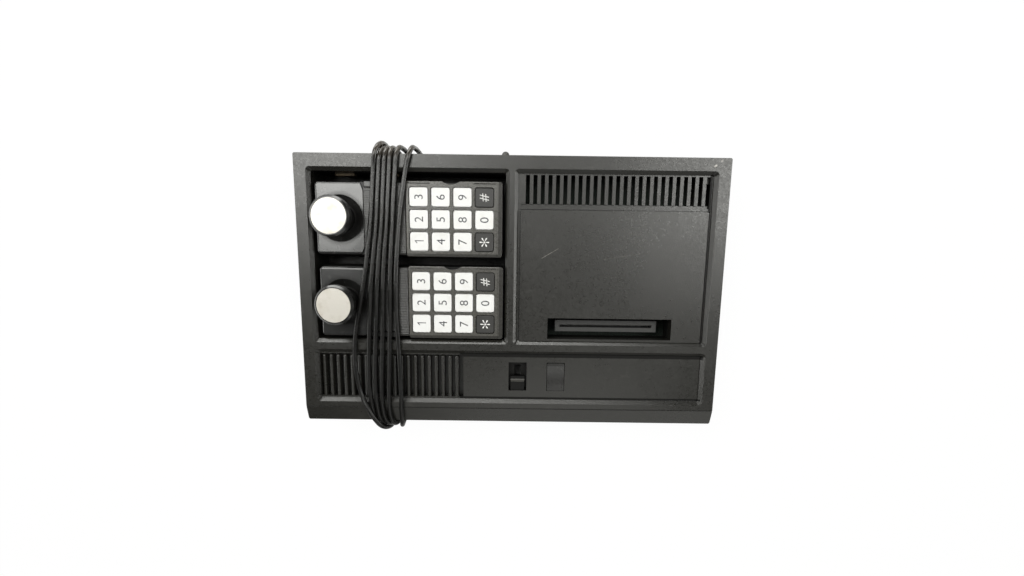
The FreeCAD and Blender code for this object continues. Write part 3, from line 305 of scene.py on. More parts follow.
@dataclass(frozen=True)
class Zone:
    """Block of a piece, in millimetres, and a weight there: how dark the painted shade is, or how much the
    grain is calmed.
    """

    x: Span = CASE_X
    y: Span = CASE_Y
    z: Span = CASE_Z
    weight: float = 1.0

    def mask(self, tree: Tree) -> Wire:
        """Weight inside the block and 0 outside it."""
        x, y, z = tree.axes()
        return x.within(self.x) * y.within(self.y) * z.within(self.z) * self.weight


@dataclass(frozen=True)
class Scratch:
    """Straight pale mark seen from above, in millimetres, and how strongly it shows."""

    start: Span
    end: Span
    half_width: float
    strength: float


@dataclass(frozen=True)
class Grained:
    """Moulded plastic with a fine grain, a little dust and paler rubbed patches."""

    name: str
    colour: Colour = (0.0108, 0.0104, 0.0086)
    roughness: float = 0.31
    grain: float = 1500.0
    relief: float = 0.00006
    dust: float = 0.35
    cloud_gain: float = 1.35
    scratches: Sequence[Scratch] = ()

    def make(self) -> bpy.types.Material:
        """Build the material.

        Returns:
            The finished material.
        """
        tree = Tree(self.name)
        grain = tree.noise(self.grain, 3.0)
        clouds = tree.noise(14.0, 4.0)
        fine = tree.noise(160.0, 5.0, rough=0.65)
        mottle = tree.noise(520.0, 2.0)
        dust = fine.smooth(0.55, 0.8) * clouds.smooth(0.35, 0.7) * self.dust
        specks = 1.0 - tree.cells(420.0).smooth(0.02, 0.09)
        specks = specks * tree.noise(35.0).smooth(0.52, 0.66) * self.dust
        colour = tree.blend(clouds, self.colour, tuple(self.cloud_gain * part for part in self.colour))
        colour = tree.blend(dust * 0.22, colour, DUST)
        colour = tree.blend(specks * 0.4, colour, SPECK)
        for scratch in self.scratches:
            mark = tree.stroke(scratch.start, scratch.end, scratch.half_width) * fine.smooth(0.3, 0.55)
            colour = tree.blend(mark * scratch.strength, colour, BARE_SCRATCH)
        rough = clouds.smooth(0.3, 0.75) * 0.06 + mottle * 0.24 + dust * 0.2 + (self.roughness - 0.14)
        # paints shade on what lies deep, where the finish has such places
        grain = self.shade(tree, grain)
        return tree.dress(colour, rough, grain, self.relief)

    def shade(self, tree: Tree, grain: Wire) -> Wire:
        """Paint shade on what lies deep, which a plain piece has none of.

        Args:
            tree: the material's tree, not used here.
            grain: relief of the grain.

        Returns:
            The relief that is left.
        """
        return grain


@dataclass(frozen=True)
class CaseTop(Grained):
    """Plastic of the top housing, with its scratches and painted shade in its seams, grooves and hollows."""

    scratches: Sequence[Scratch] = (
        Scratch((25.4, 30.8), (39.2, 39.0), 0.3, 0.4), Scratch((77.0, 30.5), (107.8, 35.5), 0.3, 0.14),
        Scratch((163.5, 106.1), (165.5, 107.3), 0.9, 1.0), Scratch((169.0, 110.3), (170.4, 111.4), 0.8, 0.7))
    # painted shade in the hollows, the switch window, the strip seams, the panel groove and slope, and the
    # lip crease
    hollow_painted_shade: Zone = Zone((-172.0, 172.0), (-106.0, 106.0), CASE_Z, 0.75)
    hollow_painted_fade: Span = (41.0, 50.0)
    strip_floor: Zone = Zone(CASE_X, (-114.0, -54.0), (50.0, 54.5), 0.5)
    switch_window_painted_shade: Zone = Zone((-2.0, 15.5), (-92.0, -54.0), (0.0, 52.5), 0.85)
    strip_front_seam_painted_shade: Zone = Zone((-44.0, 168.2), (-91.9, -90.3), (0.0, 55.6), 0.85)
    strip_back_seam_painted_shade: Zone = Zone((-44.0, 168.2), (-54.7, -50.9), (0.0, 55.6), 0.85)
    panel_groove_painted_shade: Zone = Zone((162.4, 164.6), (-50.0, 102.5), (0.0, 54.6), 0.9)
    panel_slope_painted_shade: Zone = Zone((162.4, 168.1), (-50.0, 102.5), (50.0, 56.7), 0.3)
    lip_crease_painted_shade: Zone = Zone(CASE_X, (-100.1, -99.3), (55.5, 58.0), 0.45)

    def shade(self, tree: Tree, grain: Wire) -> Wire:
        """Paint shade in hollows, seams and grooves, and calm the grain on the floor of the strip.

        Args:
            tree: the material's tree.
            grain: relief of the grain.

        Returns:
            The relief that is left.
        """
        _, _, z = tree.axes()
        deep = self.hollow_painted_shade.mask(tree) * (1.0 - z.rise(self.hollow_painted_fade))
        for zone in (self.switch_window_painted_shade, self.strip_front_seam_painted_shade, self.strip_back_seam_painted_shade, self.panel_groove_painted_shade,
                     self.panel_slope_painted_shade, self.lip_crease_painted_shade):
            deep = deep.most(zone.mask(tree))
        # near-black painted shade over all these blocks
        tree.paint_shade(deep)
        return grain * (1.0 - self.strip_floor.mask(tree))


@dataclass(frozen=True)
class FrameGrid(Grained):
    """Plastic of a keypad frame, with painted shade along its right and front rims."""

    colour: Colour = (0.058, 0.056, 0.05)
    roughness: float = 0.27
    grain: float = 900.0
    relief: float = 0.0001
    dust: float = 0.3
    rim: Span = (0.0, 0.0)
    # how dark the painted shade on the rims is
    rim_painted_shade: float = 0.6

    def shade(self, tree: Tree, grain: Wire) -> Wire:
        """Paint shade on both rims.

        Args:
            tree: the material's tree.
            grain: relief of the grain.

        Returns:
            The same relief.
        """
        x, y, _ = tree.axes()
        # near-black painted shade past the right rim and the front rim
        tree.paint_shade((x > self.rim[0] * MM).most(y < self.rim[1] * MM) * self.rim_painted_shade)
        return grain


@dataclass(frozen=True)
class Grip:
    """Smooth hard plastic with faint smears, and painted shade, matt and darker, on the skirt under the grip.
    """

    name: str
    colour: Colour = (0.009, 0.009, 0.0085)
    roughness: float = 0.17
    wear: Colour = (0.03, 0.029, 0.027)
    # where the painted shade on the skirt fades out, and how dark it gets
    skirt_painted_fade: Span = (61.0, 63.0)
    skirt_painted_dark: float = 0.85
    relief: float = 0.00001

    def make(self) -> bpy.types.Material:
        """Build the material.

        Returns:
            The finished material.
        """
        tree = Tree(self.name)
        _, _, z = tree.axes()
        skirt = 1.0 - z.rise(self.skirt_painted_fade)
        smear = tree.noise(45.0, 4.0, (1, 2.2, 1))
        hair = tree.noise(300.0, 3.0, (0.12, 6.0, 1))
        colour = tree.blend(smear.smooth(0.45, 0.75) * 0.35, self.colour, self.wear)
        # near-black painted shade on the skirt under the grip
        tree.paint_shade(skirt * self.skirt_painted_dark)
        rough = smear.smooth(0.3, 0.8) * 0.1 + hair.smooth(0.55, 0.75) * 0.05 + self.roughness
        return tree.dress(colour, rough, hair, self.relief, coat=0.1)


@dataclass(frozen=True)
class Brushed:
    """Bare metal brushed one way, dulled in patches."""

    name: str
    colour: Colour = (0.72, 0.7, 0.66)
    tarnish: Colour = (0.5, 0.45, 0.38)
    roughness: float = 0.34
    metal: float = 1.0
    stretch: Point = (0.05, 1.0, 1.0)
    relief: float = 0.00001

    def make(self) -> bpy.types.Material:
        """Build the material.

        Returns:
            The finished material.
        """
        tree = Tree(self.name)
        lines = tree.noise(2600.0, 2.0, self.stretch)
        stain = tree.noise(120.0, 5.0)
        colour = tree.blend(stain.smooth(0.45, 0.78) * 0.45, self.colour, self.tarnish)
        rough = lines * 0.16 + stain.smooth(0.4, 0.8) * 0.14 + self.roughness
        return tree.dress(colour, rough, lines, self.relief, metal=self.metal)


@dataclass(frozen=True)
class Sleeve:
    """Soft cord sleeve, scuffed, browned behind the case, and darkened by painted shade towards the front."""

    name: str
    colour: Colour = (0.008, 0.0077, 0.007)
    patch_gain: float = 2.2
    browned: Colour = (0.085, 0.07, 0.052)
    scuffed: Colour = (0.07, 0.066, 0.06)
    roughness: float = 0.22
    browned_y: Span = (106.0, 121.0)
    browned_z: Span = (30.0, 56.0)
    # where the painted shade towards the front fades out, and how dark it gets
    painted_shade_y: Span = (-30.0, 70.0)
    painted_shade_dark: float = 0.6
    relief: float = 0.00003

    def make(self) -> bpy.types.Material:
        """Build the material.

        Returns:
            The finished material.
        """
        tree = Tree(self.name)
        patches = tree.noise(60.0, 4.0)
        scuffs = tree.noise(900.0, 4.0)
        _, y, z = tree.axes()
        behind = y.rise(self.browned_y) * z.rise(self.browned_z)
        paler = tuple(self.patch_gain * part for part in self.colour)
        colour = tree.blend(patches.smooth(0.4, 0.8) * 0.5, self.colour, paler)
        colour = tree.blend(behind * (0.35 + patches * 0.6), colour, self.browned)
        colour = tree.blend(scuffs.smooth(0.62, 0.75) * 0.2, colour, self.scuffed)
        # near-black painted shade on the turns towards the front
        tree.paint_shade((1.0 - y.rise(self.painted_shade_y)) * self.painted_shade_dark)
        rough = patches.smooth(0.3, 0.8) * 0.12 + self.roughness
        return tree.dress(colour, rough, scuffs, self.relief)


@dataclass(frozen=True)
class PadShell:
    """Controller shell: a smooth satin plate round the stick, then a neck with fine ribs across it.

    Places are in millimetres. The plate ends at plate_end, a painted highlight pales its back edge past
    back_edge, and dish is the middle of the round dip under the stick. Painted shade covers what lies deep,
    and a painted shadow of the grip fades out round the dish.
    """

    name: str
    plate_end: float
    back_edge: float
    dish: Span
    painted_shade_strength: float
    specular: float
    dish_radius: float = 19.0
    dish_top: float = 55.9
    # reach of the painted shadow round the dish
    dish_painted_shade: float = 4.5
    groove_half: float = 4.2
    groove_top: float = 55.4
    # heights where the sides fade into painted shade
    side_painted_shade: Span = (52.0, 54.5)
    neck_low: float = 50.0
    rib_pitch: float = 1.4
    colour: Colour = (0.013, 0.0128, 0.012)
    plate: Colour = (0.016, 0.0162, 0.016)
    dusty: Colour = (0.17, 0.16, 0.145)
    rib_top: Colour = (0.06, 0.058, 0.05)
    # colour of the painted highlight along the plate's back edge
    rubbed_and_highlight: Colour = (0.17, 0.17, 0.165)
    relief: float = 0.0002

    def make(self) -> bpy.types.Material:
        """Build the material.

        Returns:
            The finished material.
        """
        tree = Tree(self.name)
        x, y, z = tree.axes()
        groove = ((x - self.plate_end * MM).abs() < self.groove_half * MM) * (z < self.groove_top * MM)
        aside, along = x - self.dish[0] * MM, y - self.dish[1] * MM
        reach = aside * aside + along * along
        rim = (self.dish_radius * MM) ** 2
        dish = (reach < rim) * (z < self.dish_top * MM)
        # painted shadow of the grip, fading out round the dish
        shade = 1.0 - reach.smooth(rim, ((self.dish_radius + self.dish_painted_shade) * MM) ** 2)
        # painted shade on the sides, in the groove at the plate's end and in the dish
        deep = (1.0 - z.rise(self.side_painted_shade)).most(groove).most(dish)
        on_plate = (x < self.plate_end * MM) * (1.0 - deep)
        on_neck = (x > self.plate_end * MM) * (z > self.neck_low * MM)
        grain = tree.noise(1700.0, 3.0)
        smear = tree.noise(38.0, 4.0, (1, 1.8, 1))
        ribs = (y * (2 * math.pi / (self.rib_pitch * MM))).sin() * on_neck
        dust = tree.noise(190.0, 5.0, rough=0.65).smooth(0.55, 0.8)
        colour = tree.blend(on_plate, self.colour, self.plate)
        colour = tree.blend(dust * smear * 0.3, colour, self.dusty)
        colour = tree.blend(ribs.smooth(0.2, 0.9) * 0.35, colour, self.rib_top)
        # painted highlight along the plate's back edge
        worn = on_plate * (y > self.back_edge * MM) * (0.5 + smear * 0.4)
        colour = tree.blend(worn, colour, self.rubbed_and_highlight)
        # near-black painted shade mixed in
        tree.paint_shade((deep * self.painted_shade_strength).most(shade * self.painted_shade_strength * 0.6))
        rough = 0.32 - on_plate * 0.12 + smear.smooth(0.35, 0.75) * 0.06
        height = grain * (1.0 - on_plate) * 0.2 + ribs * 0.5
        return tree.dress(colour, rough, height, self.relief, coat=0.12, specular=self.specular)


@dataclass(frozen=True)
class KeyRubber:
    """Soft pale or dark key under a thin, uneven film of grime."""

    name: str
    colour: Colour
    grime: Colour
    roughness: float = 0.42
    relief: float = 0.00002

    def make(self) -> bpy.types.Material:
        """Build the material.

        Returns:
            The finished material.
        """
        tree = Tree(self.name)
        film = tree.noise(130.0, 4.0)
        pores = tree.noise(1500.0, 2.0)
        colour = tree.blend(film.smooth(0.48, 0.82) * 0.4, self.colour, self.grime)
        return tree.dress(colour, film * 0.14 + self.roughness, pores, self.relief, coat=0.08)


@dataclass(frozen=True)
class Board:
    """Green lacquered circuit board with pale traces and tinned pads, all kept very dark as painted shade
    inside the housing.
    """

    name: str
    # green, traces and pads kept very dark: painted shade of the inside of the housing
    colour: Colour = (0.0025, 0.006, 0.0035)
    trace: Colour = (0.006, 0.016, 0.009)
    solder: Colour = (0.06, 0.057, 0.05)
    pitch: float = 2.54
    relief: float = 0.00006

    def make(self) -> bpy.types.Material:
        """Build the material.

        Returns:
            The finished material.
        """
        tree = Tree(self.name)
        x, y, _ = tree.axes()
        turns = 2 * math.pi / (self.pitch * MM)
        lanes = tree.noise(60.0, 1.0, (1, 3, 1)).smooth(0.45, 0.5)
        traces = ((x * turns + lanes * 2.0).sin()).smooth(0.72, 0.86) * lanes
        pads = ((x * turns).sin() * (y * turns).sin()).smooth(0.9, 0.96) * (1.0 - lanes)
        colour = tree.blend(traces * 0.7, self.colour, self.trace)
        colour = tree.blend(pads, colour, self.solder)
        return tree.dress(colour, 0.62 - pads * 0.1, traces + pads, self.relief, specular=0.2)


@dataclass(frozen=True)
class Plated:
    """Plated sheet metal with a brown-gold cast, darker where its plating has dulled."""

    name: str
    colour: Colour = (0.07, 0.052, 0.03)
    dulled: Colour = (0.03, 0.023, 0.015)
    relief: float = 0.00002

    def make(self) -> bpy.types.Material:
        """Build the material.

        Returns:
            The finished material.
        """
        tree = Tree(self.name)
        film = tree.noise(180.0, 4.0)
        colour = tree.blend(film.smooth(0.3, 0.75), self.colour, self.dulled)
        return tree.dress(colour, film * 0.2 + 0.45, film, self.relief, metal=0.6)


@dataclass(frozen=True)
class Tipped:
    """Black moulded plastic whose left end is bare metal, from edge on in millimetres."""

    name: str
    edge: float
    plastic: Colour = (0.016, 0.016, 0.016)
    worn: Colour = (0.03, 0.029, 0.028)
    metal: Colour = (0.62, 0.6, 0.56)
    relief: float = 0.00004

    def make(self) -> bpy.types.Material:
        """Build the material.

        Returns:
            The finished material.
        """
        tree = Tree(self.name)
        x, _, _ = tree.axes()
        bare = x < self.edge * MM
        film = tree.noise(240.0, 4.0)
        grain = tree.noise(1500.0, 3.0)
        colour = tree.blend(bare, tree.blend(film, self.plastic, self.worn), self.metal)
        rough = 0.44 - bare * 0.16 + film * 0.08
        return tree.dress(colour, rough, grain * (1.0 - bare), self.relief, metal=bare)


@dataclass(frozen=True)
class Ridged:
    """Dark smooth plastic with one paler ridge across it, and painted shade on the rest."""

    name: str
    ridge: float
    half: float = 1.3
    ridge_low: float = 50.5
    colour: Colour = (0.004, 0.0038, 0.0035)
    rubbed_and_highlight: Colour = (0.05, 0.048, 0.043)
    # how dark the painted shade on all but the ridge is
    dark: float = 0.75
    relief: float = 0.00002

    def make(self) -> bpy.types.Material:
        """Build the material.

        Returns:
            The finished material.
        """
        tree = Tree(self.name)
        _, y, z = tree.axes()
        worn = ((y - self.ridge * MM).abs() < self.half * MM) * (z > self.ridge_low * MM)
        film = tree.noise(300.0, 4.0)
        # near-black painted shade on all but the ridge
        tree.paint_shade((1.0 - worn) * self.dark)
        colour = tree.blend(worn, self.colour, self.rubbed_and_highlight)
        return tree.dress(colour, film * 0.1 + 0.42, film, self.relief, specular=0.35)


@dataclass(frozen=True)
class Ink:
    """Flat printed ink, slightly thinned where fingers have rubbed it."""

    name: str
    colour: Colour
    paper: Colour
    wear: float = 0.25

    def make(self) -> bpy.types.Material:
        """Build the material.

        Returns:
            The finished material.
        """
        tree = Tree(self.name)
        rubbed_and_highlight = tree.noise(900.0, 3.0).smooth(0.5, 0.75) * self.wear
        return tree.dress(tree.blend(rubbed_and_highlight, self.colour, self.paper), rubbed_and_highlight * 0.2 + 0.5)


def cover(name: str, material: bpy.types.Material) -> bpy.types.Object:
    """Give a carried-over CAD node one material.

    Args:
        name: the node's name.
        material: its finish.

    Returns:
        The node.
    """
    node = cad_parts[name]
    node.data.materials.clear()
    node.data.materials.append(material)
    return node


def soften(node: bpy.types.Object, width: float, segments: int = 2, angle: float = 50.0) -> None:
    """Round the sharp edges of a carried-over CAD node.

    Args:
        node: the node.
        width: width of the rounding in millimetres.
        segments: steps across it.
        angle: least angle of an edge that is rounded, in degrees.
    """
    bevel = node.modifiers.new("soft_edges", "BEVEL")
    bevel.width = width * MM
    bevel.segments = segments
    bevel.limit_method = "ANGLE"
    bevel.angle_limit = math.radians(angle)
    bevel.use_clamp_overlap = True


# Controllers

class Pad(Enum):
    """The two controllers, by where they lie in the well."""

    UPPER = "upper"
    LOWER = "lower"


@dataclass
class Legends:
    """Characters printed on the keys, read from the side of the stick, with sizes in millimetres.

    A key's face counts as its top when it points upright and lies within crown of the highest one. The
    strokes draw what the plain letter shapes lack.
    """

    height: float = 7.0
    star_height: float = 8.2
    thickness: float = 0.03
    digit_weight: float = 0.0
    sign_weight: float = -0.05
    font_size: float = 10.0
    upright: float = 0.98
    crown: float = 2.2
    strokes: Sequence[tuple[str, float, Sequence[tuple[Point, Point]]]] = (
        ("1", 0.72, (((0.6, -3.5, 0), (0.6, 3.5, 0)), ((-1.2, 1.9, 0), (0.6, 3.3, 0)))),
        ("#", 0.6, (((-2.0, -3.6, 0), (-0.4, 3.6, 0)), ((0.4, -3.6, 0), (2.0, 3.6, 0)),
                    ((-3.2, -1.4, 0), (2.8, -1.0, 0)), ((-2.8, 1.0, 0), (3.2, 1.4, 0)))))
    marks: Sequence[tuple[str, str]] = (
        ("0", "0"), ("1", "1"), ("2", "2"), ("3", "3"), ("4", "4"), ("5", "5"), ("6", "6"), ("7", "7"),
        ("8", "8"), ("9", "9"), ("star", "*"), ("hash", "#"))

    def top_of(self, node: bpy.types.Object) -> tuple[Vector, Vector]:
        """Middle and direction of a key's upper face.

        Args:
            node: the key.

        Returns:
            The middle in world space and the unit normal.
        """
        up = [face for face in node.data.polygons if face.normal.z > self.upright]
        top = max((node.matrix_world @ face.center).z for face in up)
        up = [face for face in up if (node.matrix_world @ face.center).z > top - self.crown * MM]
        area = sum(face.area for face in up)
        normal = sum((face.normal * face.area for face in up), Vector()) / area
        middle = sum((face.center * face.area for face in up), Vector()) / area
        return node.matrix_world @ middle, (node.matrix_world.to_3x3() @ normal).normalized()

    def glyph(self, name: str, character: str, weight: float) -> bpy.types.Mesh:
        """Flat letter as a mesh about its own middle, top towards the left.

        Args:
            name: name of the mesh.
            character: what it reads.
            weight: how much the strokes grow, in millimetres.

        Returns:
            The mesh in metres.
        """
        for drawn, width, bars in self.strokes:
            if drawn == character:
                return self.bars(name, width, bars)
        text = bpy.data.curves.new(name, "FONT")
        text.body = character
        text.size = self.font_size
        text.offset = weight
        text.extrude = self.thickness / 2
        holder = bpy.data.objects.new(name, text)
        bpy.context.scene.collection.objects.link(holder)
        bpy.context.view_layer.update()
        mesh = bpy.data.meshes.new_from_object(holder.evaluated_get(bpy.context.evaluated_depsgraph_get()))
        bpy.data.objects.remove(holder)
        xs = [vertex.co.x for vertex in mesh.vertices]
        ys = [vertex.co.y for vertex in mesh.vertices]
        middle = Vector(((min(xs) + max(xs)) / 2, (min(ys) + max(ys)) / 2, 0))
        size = (self.height if character.isdigit() else self.star_height) / (max(ys) - min(ys))
        mesh.transform(Matrix.Rotation(math.radians(90), 4, "Z") @ Matrix.Diagonal((size, size, 1, 1))
                       @ Matrix.Translation(-middle))
        mesh.transform(Matrix.Scale(MM, 4))
        return mesh

    def bars(self, name: str, width: float, strokes: Sequence[tuple[Point, Point]]) -> bpy.types.Mesh:
        """A character drawn as straight strokes.

        Args:
            name: name of the mesh.
            width: width of a stroke in millimetres.
            strokes: both ends of each stroke.

        Returns:
            The mesh in metres, top towards the left.
        """
        shape = bmesh.new()
        for start, end in strokes:
            run = Vector(end) - Vector(start)
            turn = Vector((0, 1, 0)).rotation_difference(run).to_matrix().to_4x4()
            place = Matrix.Translation((Vector(start) + Vector(end)) / 2) @ turn
            size = Matrix.Diagonal((width, run.length + width * 0.5, self.thickness, 1))
            bmesh.ops.create_cube(shape, size=1.0, matrix=place @ size)
        bmesh.ops.transform(shape, matrix=Matrix.Scale(MM, 4) @ Matrix.Rotation(math.radians(90), 4, "Z"),
                            verts=shape.verts)
        mesh = bpy.data.meshes.new(name)
        shape.to_mesh(mesh)
        shape.free()
        return mesh

    def build(self, dark: bpy.types.Material, pale: bpy.types.Material) -> list[bpy.types.Object]:
        """Put every character on its key.

        Args:
            dark: ink on pale keys.
            pale: ink on dark keys.

        Returns:
            The printed characters.
        """
        printed = []
        for pad in Pad:
            for name, character in self.marks:
                digit = character.isdigit()
                key = f"{pad.value}_key_{name}"
                middle, normal = self.top_of(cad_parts[key])
                mesh = self.glyph(f"{key}_mark", character, self.digit_weight if digit else self.sign_weight)
                lean = Vector((0, 0, 1)).rotation_difference(normal).to_matrix().to_4x4()
                mesh.transform(Matrix.Translation(middle + normal * self.thickness * MM * 0.5) @ lean)
                mesh.materials.clear()
                mesh.materials.append(dark if digit else pale)
                mark = bpy.data.objects.new(f"{key}_mark", mesh)
                bpy.context.scene.collection.objects.link(mark)
                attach(mark, key)
                printed.append(mark)
        return printed


@dataclass
class Knobs:
    """Round grips of the sticks, with a soft rounding on every sharp edge."""

    round_edge: float = 0.5
    steps: int = 3
    least_angle: float = 25.0

    def build(self, material: bpy.types.Material) -> list[bpy.types.Object]:
        """Dress both sticks.

        Args:
            material: plastic of the grips.

        Returns:
            Both sticks.
        """
        sticks = [cover(f"{pad.value}_stick", material) for pad in Pad]
        for stick in sticks:
            soften(stick, self.round_edge, self.steps, self.least_angle)
        return sticks


# Lead

@dataclass
class Lead:
    """The lead: out of its relief, round the case six times, and on to its plug."""

    radius: float = 2.0
    curve_steps: int = 6
    round_steps: int = 4
    tail: Sequence[Point] = (
        (-6.0, 116.4, 22.6), (-6.0, 116.4, 10.6), (-14.1, 116.4, 2.5), (-32.0, 117.6, 2.5),
        (-60.0, 116.4, 2.5), (-72.4, 117.0, 3.4))
    end: Sequence[Point] = (
        (-119.4, 101.0, 2.4), (-121.4, 112.6, 2.4), (-129.5, 117.8, 2.9), (-139.5, 117.6, 4.5),
        (-151.5, 117.6, 4.5))
    stations: Sequence[float] = (104.0, 67.0, 40.0, 11.0, -14.0, -34.0, -53.0, -72.0, -88.0)
    tops: Sequence[Sequence[float]] = (
        (-85.8, -92.1, -94.5, -96.4, -97.0, -95.9, -94.9, -94.5, -94.0),
        (-94.4, -97.6, -99.4, -101.1, -101.8, -102.5, -103.1, -103.8, -104.6),
        (-99.2, -102.0, -104.5, -107.0, -107.9, -108.5, -109.4, -110.4, -110.8),
        (-103.5, -106.2, -108.9, -111.8, -113.2, -114.4, -115.4, -116.2, -115.9),
        (-107.7, -110.5, -113.2, -116.8, -118.7, -119.9, -120.9, -121.5, -120.9),
        (-112.1, -114.9, -118.2, -122.6, -127.7, -131.7, -133.3, -132.2, -128.6))
    fronts: Sequence[Sequence[Point]] = (
        ((-93.9, -100.0, 59.3), (-94.0, -109.6, 57.8), (-95.0, -117.4, 53.2), (-96.9, -120.6, 43.0),
         (-98.2, -120.4, 28.0), (-98.4, -117.4, 12.0), (-98.4, -108.0, 2.4)),
        ((-104.7, -100.0, 59.3), (-103.6, -109.6, 57.6), (-101.8, -116.4, 53.6), (-100.2, -117.8, 43.0),
         (-101.2, -116.8, 28.0), (-102.6, -115.8, 12.0), (-102.6, -108.0, 2.4)),
        ((-110.4, -100.0, 59.3), (-109.0, -109.6, 57.6), (-106.4, -116.4, 53.6), (-104.1, -117.8, 43.0),
         (-105.6, -117.2, 28.0), (-106.8, -115.8, 12.0), (-106.8, -108.0, 2.4)),
        ((-114.8, -100.0, 59.3), (-113.4, -109.6, 57.6), (-110.8, -116.2, 53.6), (-108.4, -117.4, 43.0),
         (-109.8, -117.0, 28.0), (-111.0, -115.8, 12.0), (-111.0, -108.0, 2.4)),
        ((-119.0, -100.0, 59.3), (-117.8, -109.6, 57.6), (-115.2, -116.0, 53.6), (-112.7, -117.2, 43.0),
         (-114.0, -116.8, 28.0), (-115.2, -115.8, 12.0), (-115.2, -108.0, 2.4)),
        ((-121.9, -100.0, 62.9), (-117.6, -108.0, 62.6), (-111.6, -117.4, 59.3), (-107.0, -121.2, 48.0),
         (-106.8, -121.3, 34.0), (-112.6, -121.0, 20.0), (-119.0, -118.6, 9.6), (-119.4, -108.0, 2.4)))
    backs: Sequence[Sequence[Point]] = (
        ((-80.2, 117.6, 14.0), (-80.2, 119.0, 32.0), (-80.8, 119.4, 46.0), (-81.6, 118.6, 55.6),
         (-83.6, 111.2, 60.6)),
        ((-90.4, 117.0, 14.0), (-90.4, 118.8, 32.0), (-91.2, 119.4, 46.0), (-92.2, 118.4, 55.6),
         (-93.8, 111.2, 60.4)),
        ((-97.2, 116.6, 14.0), (-97.3, 118.2, 32.0), (-97.5, 118.8, 46.0), (-97.9, 118.0, 55.2),
         (-98.6, 110.8, 60.3)),
        ((-101.4, 116.6, 14.0), (-101.4, 118.2, 32.0), (-101.6, 118.8, 46.0), (-102.0, 118.0, 55.2),
         (-102.8, 110.8, 60.3)),
        ((-105.6, 116.6, 14.0), (-105.6, 118.0, 32.0), (-105.7, 118.4, 46.0), (-106.0, 117.6, 55.2),
         (-107.0, 110.8, 60.3)),
        ((-109.8, 116.6, 11.0), (-108.2, 121.8, 24.0), (-105.4, 122.3, 42.0), (-106.8, 121.9, 55.2),
         (-110.0, 115.0, 62.2)))
    below: Sequence[Span] = ((0.04, -96.0), (0.3, -34.0), (0.66, 34.0), (0.95, 92.0), (1.0, 110.4))
    rest: float = 59.35
    floor: float = 2.4

    def turn(self, index: int) -> list[Point]:
        """Control points of one turn, up the back of the case, over its top and down its front.

        Args:
            index: number of the turn, counted from the right.

        Returns:
            Points in millimetres.
        """
        over = [(x, y, self.rest) for x, y in zip(self.tops[index], self.stations)]
        return [*self.backs[index], *over, *self.fronts[index]]

    def under(self, start: float, goal: float) -> list[Point]:
        """Points on the floor under the case, from one turn's front to the next turn's back.

        Args:
            start: X of the turn that comes down in front.
            goal: X of the turn that goes up behind.

        Returns:
            Points in millimetres.
        """
        return [(start + (goal - start) * share, y, self.floor) for share, y in self.below]

    def route(self) -> list[Point]:
        """Whole middle line, from the strain relief to the plug.

        Returns:
            Points in millimetres.
        """
        points = list(self.tail)
        for index, front in enumerate(self.fronts):
            points += self.turn(index)
            start = front[-1][0]
            if front is self.fronts[-1]:
                points += self.under(start, start)[:-1]
            else:
                points += self.under(start, self.backs[index + 1][0][0])
        return points + list(self.end)

    def build(self, material: bpy.types.Material) -> bpy.types.Object:
        """Args:
            material: its sleeve.

        Returns:
            The curve object.
        """
        curve = bpy.data.curves.new("wound_lead", "CURVE")
        curve.dimensions = "3D"
        spline = curve.splines.new("NURBS")
        points = [Vector(point) * MM for point in self.route()]
        spline.points.add(len(points) - 1)
        for knot, point in zip(spline.points, points):
            knot.co = (*point, 1.0)
        spline.order_u = 3
        spline.use_endpoint_u = True
        spline.resolution_u = self.curve_steps
        curve.bevel_depth = self.radius * MM
        curve.bevel_resolution = self.round_steps
        curve.materials.append(material)
        lead = bpy.data.objects.new("wound_lead", curve)
        bpy.context.scene.collection.objects.link(lead)
        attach(lead, "console")
        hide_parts("lead_free_runs", "lead_winding")
        return lead


# Studio

@dataclass(frozen=True)
class SoftBox:
    """One rectangular lamp that faces the console. A card shows only where glossy slopes mirror it."""

    name: str
    place: Point
    width: float
    height: float
    glow: float
    card: bool = False


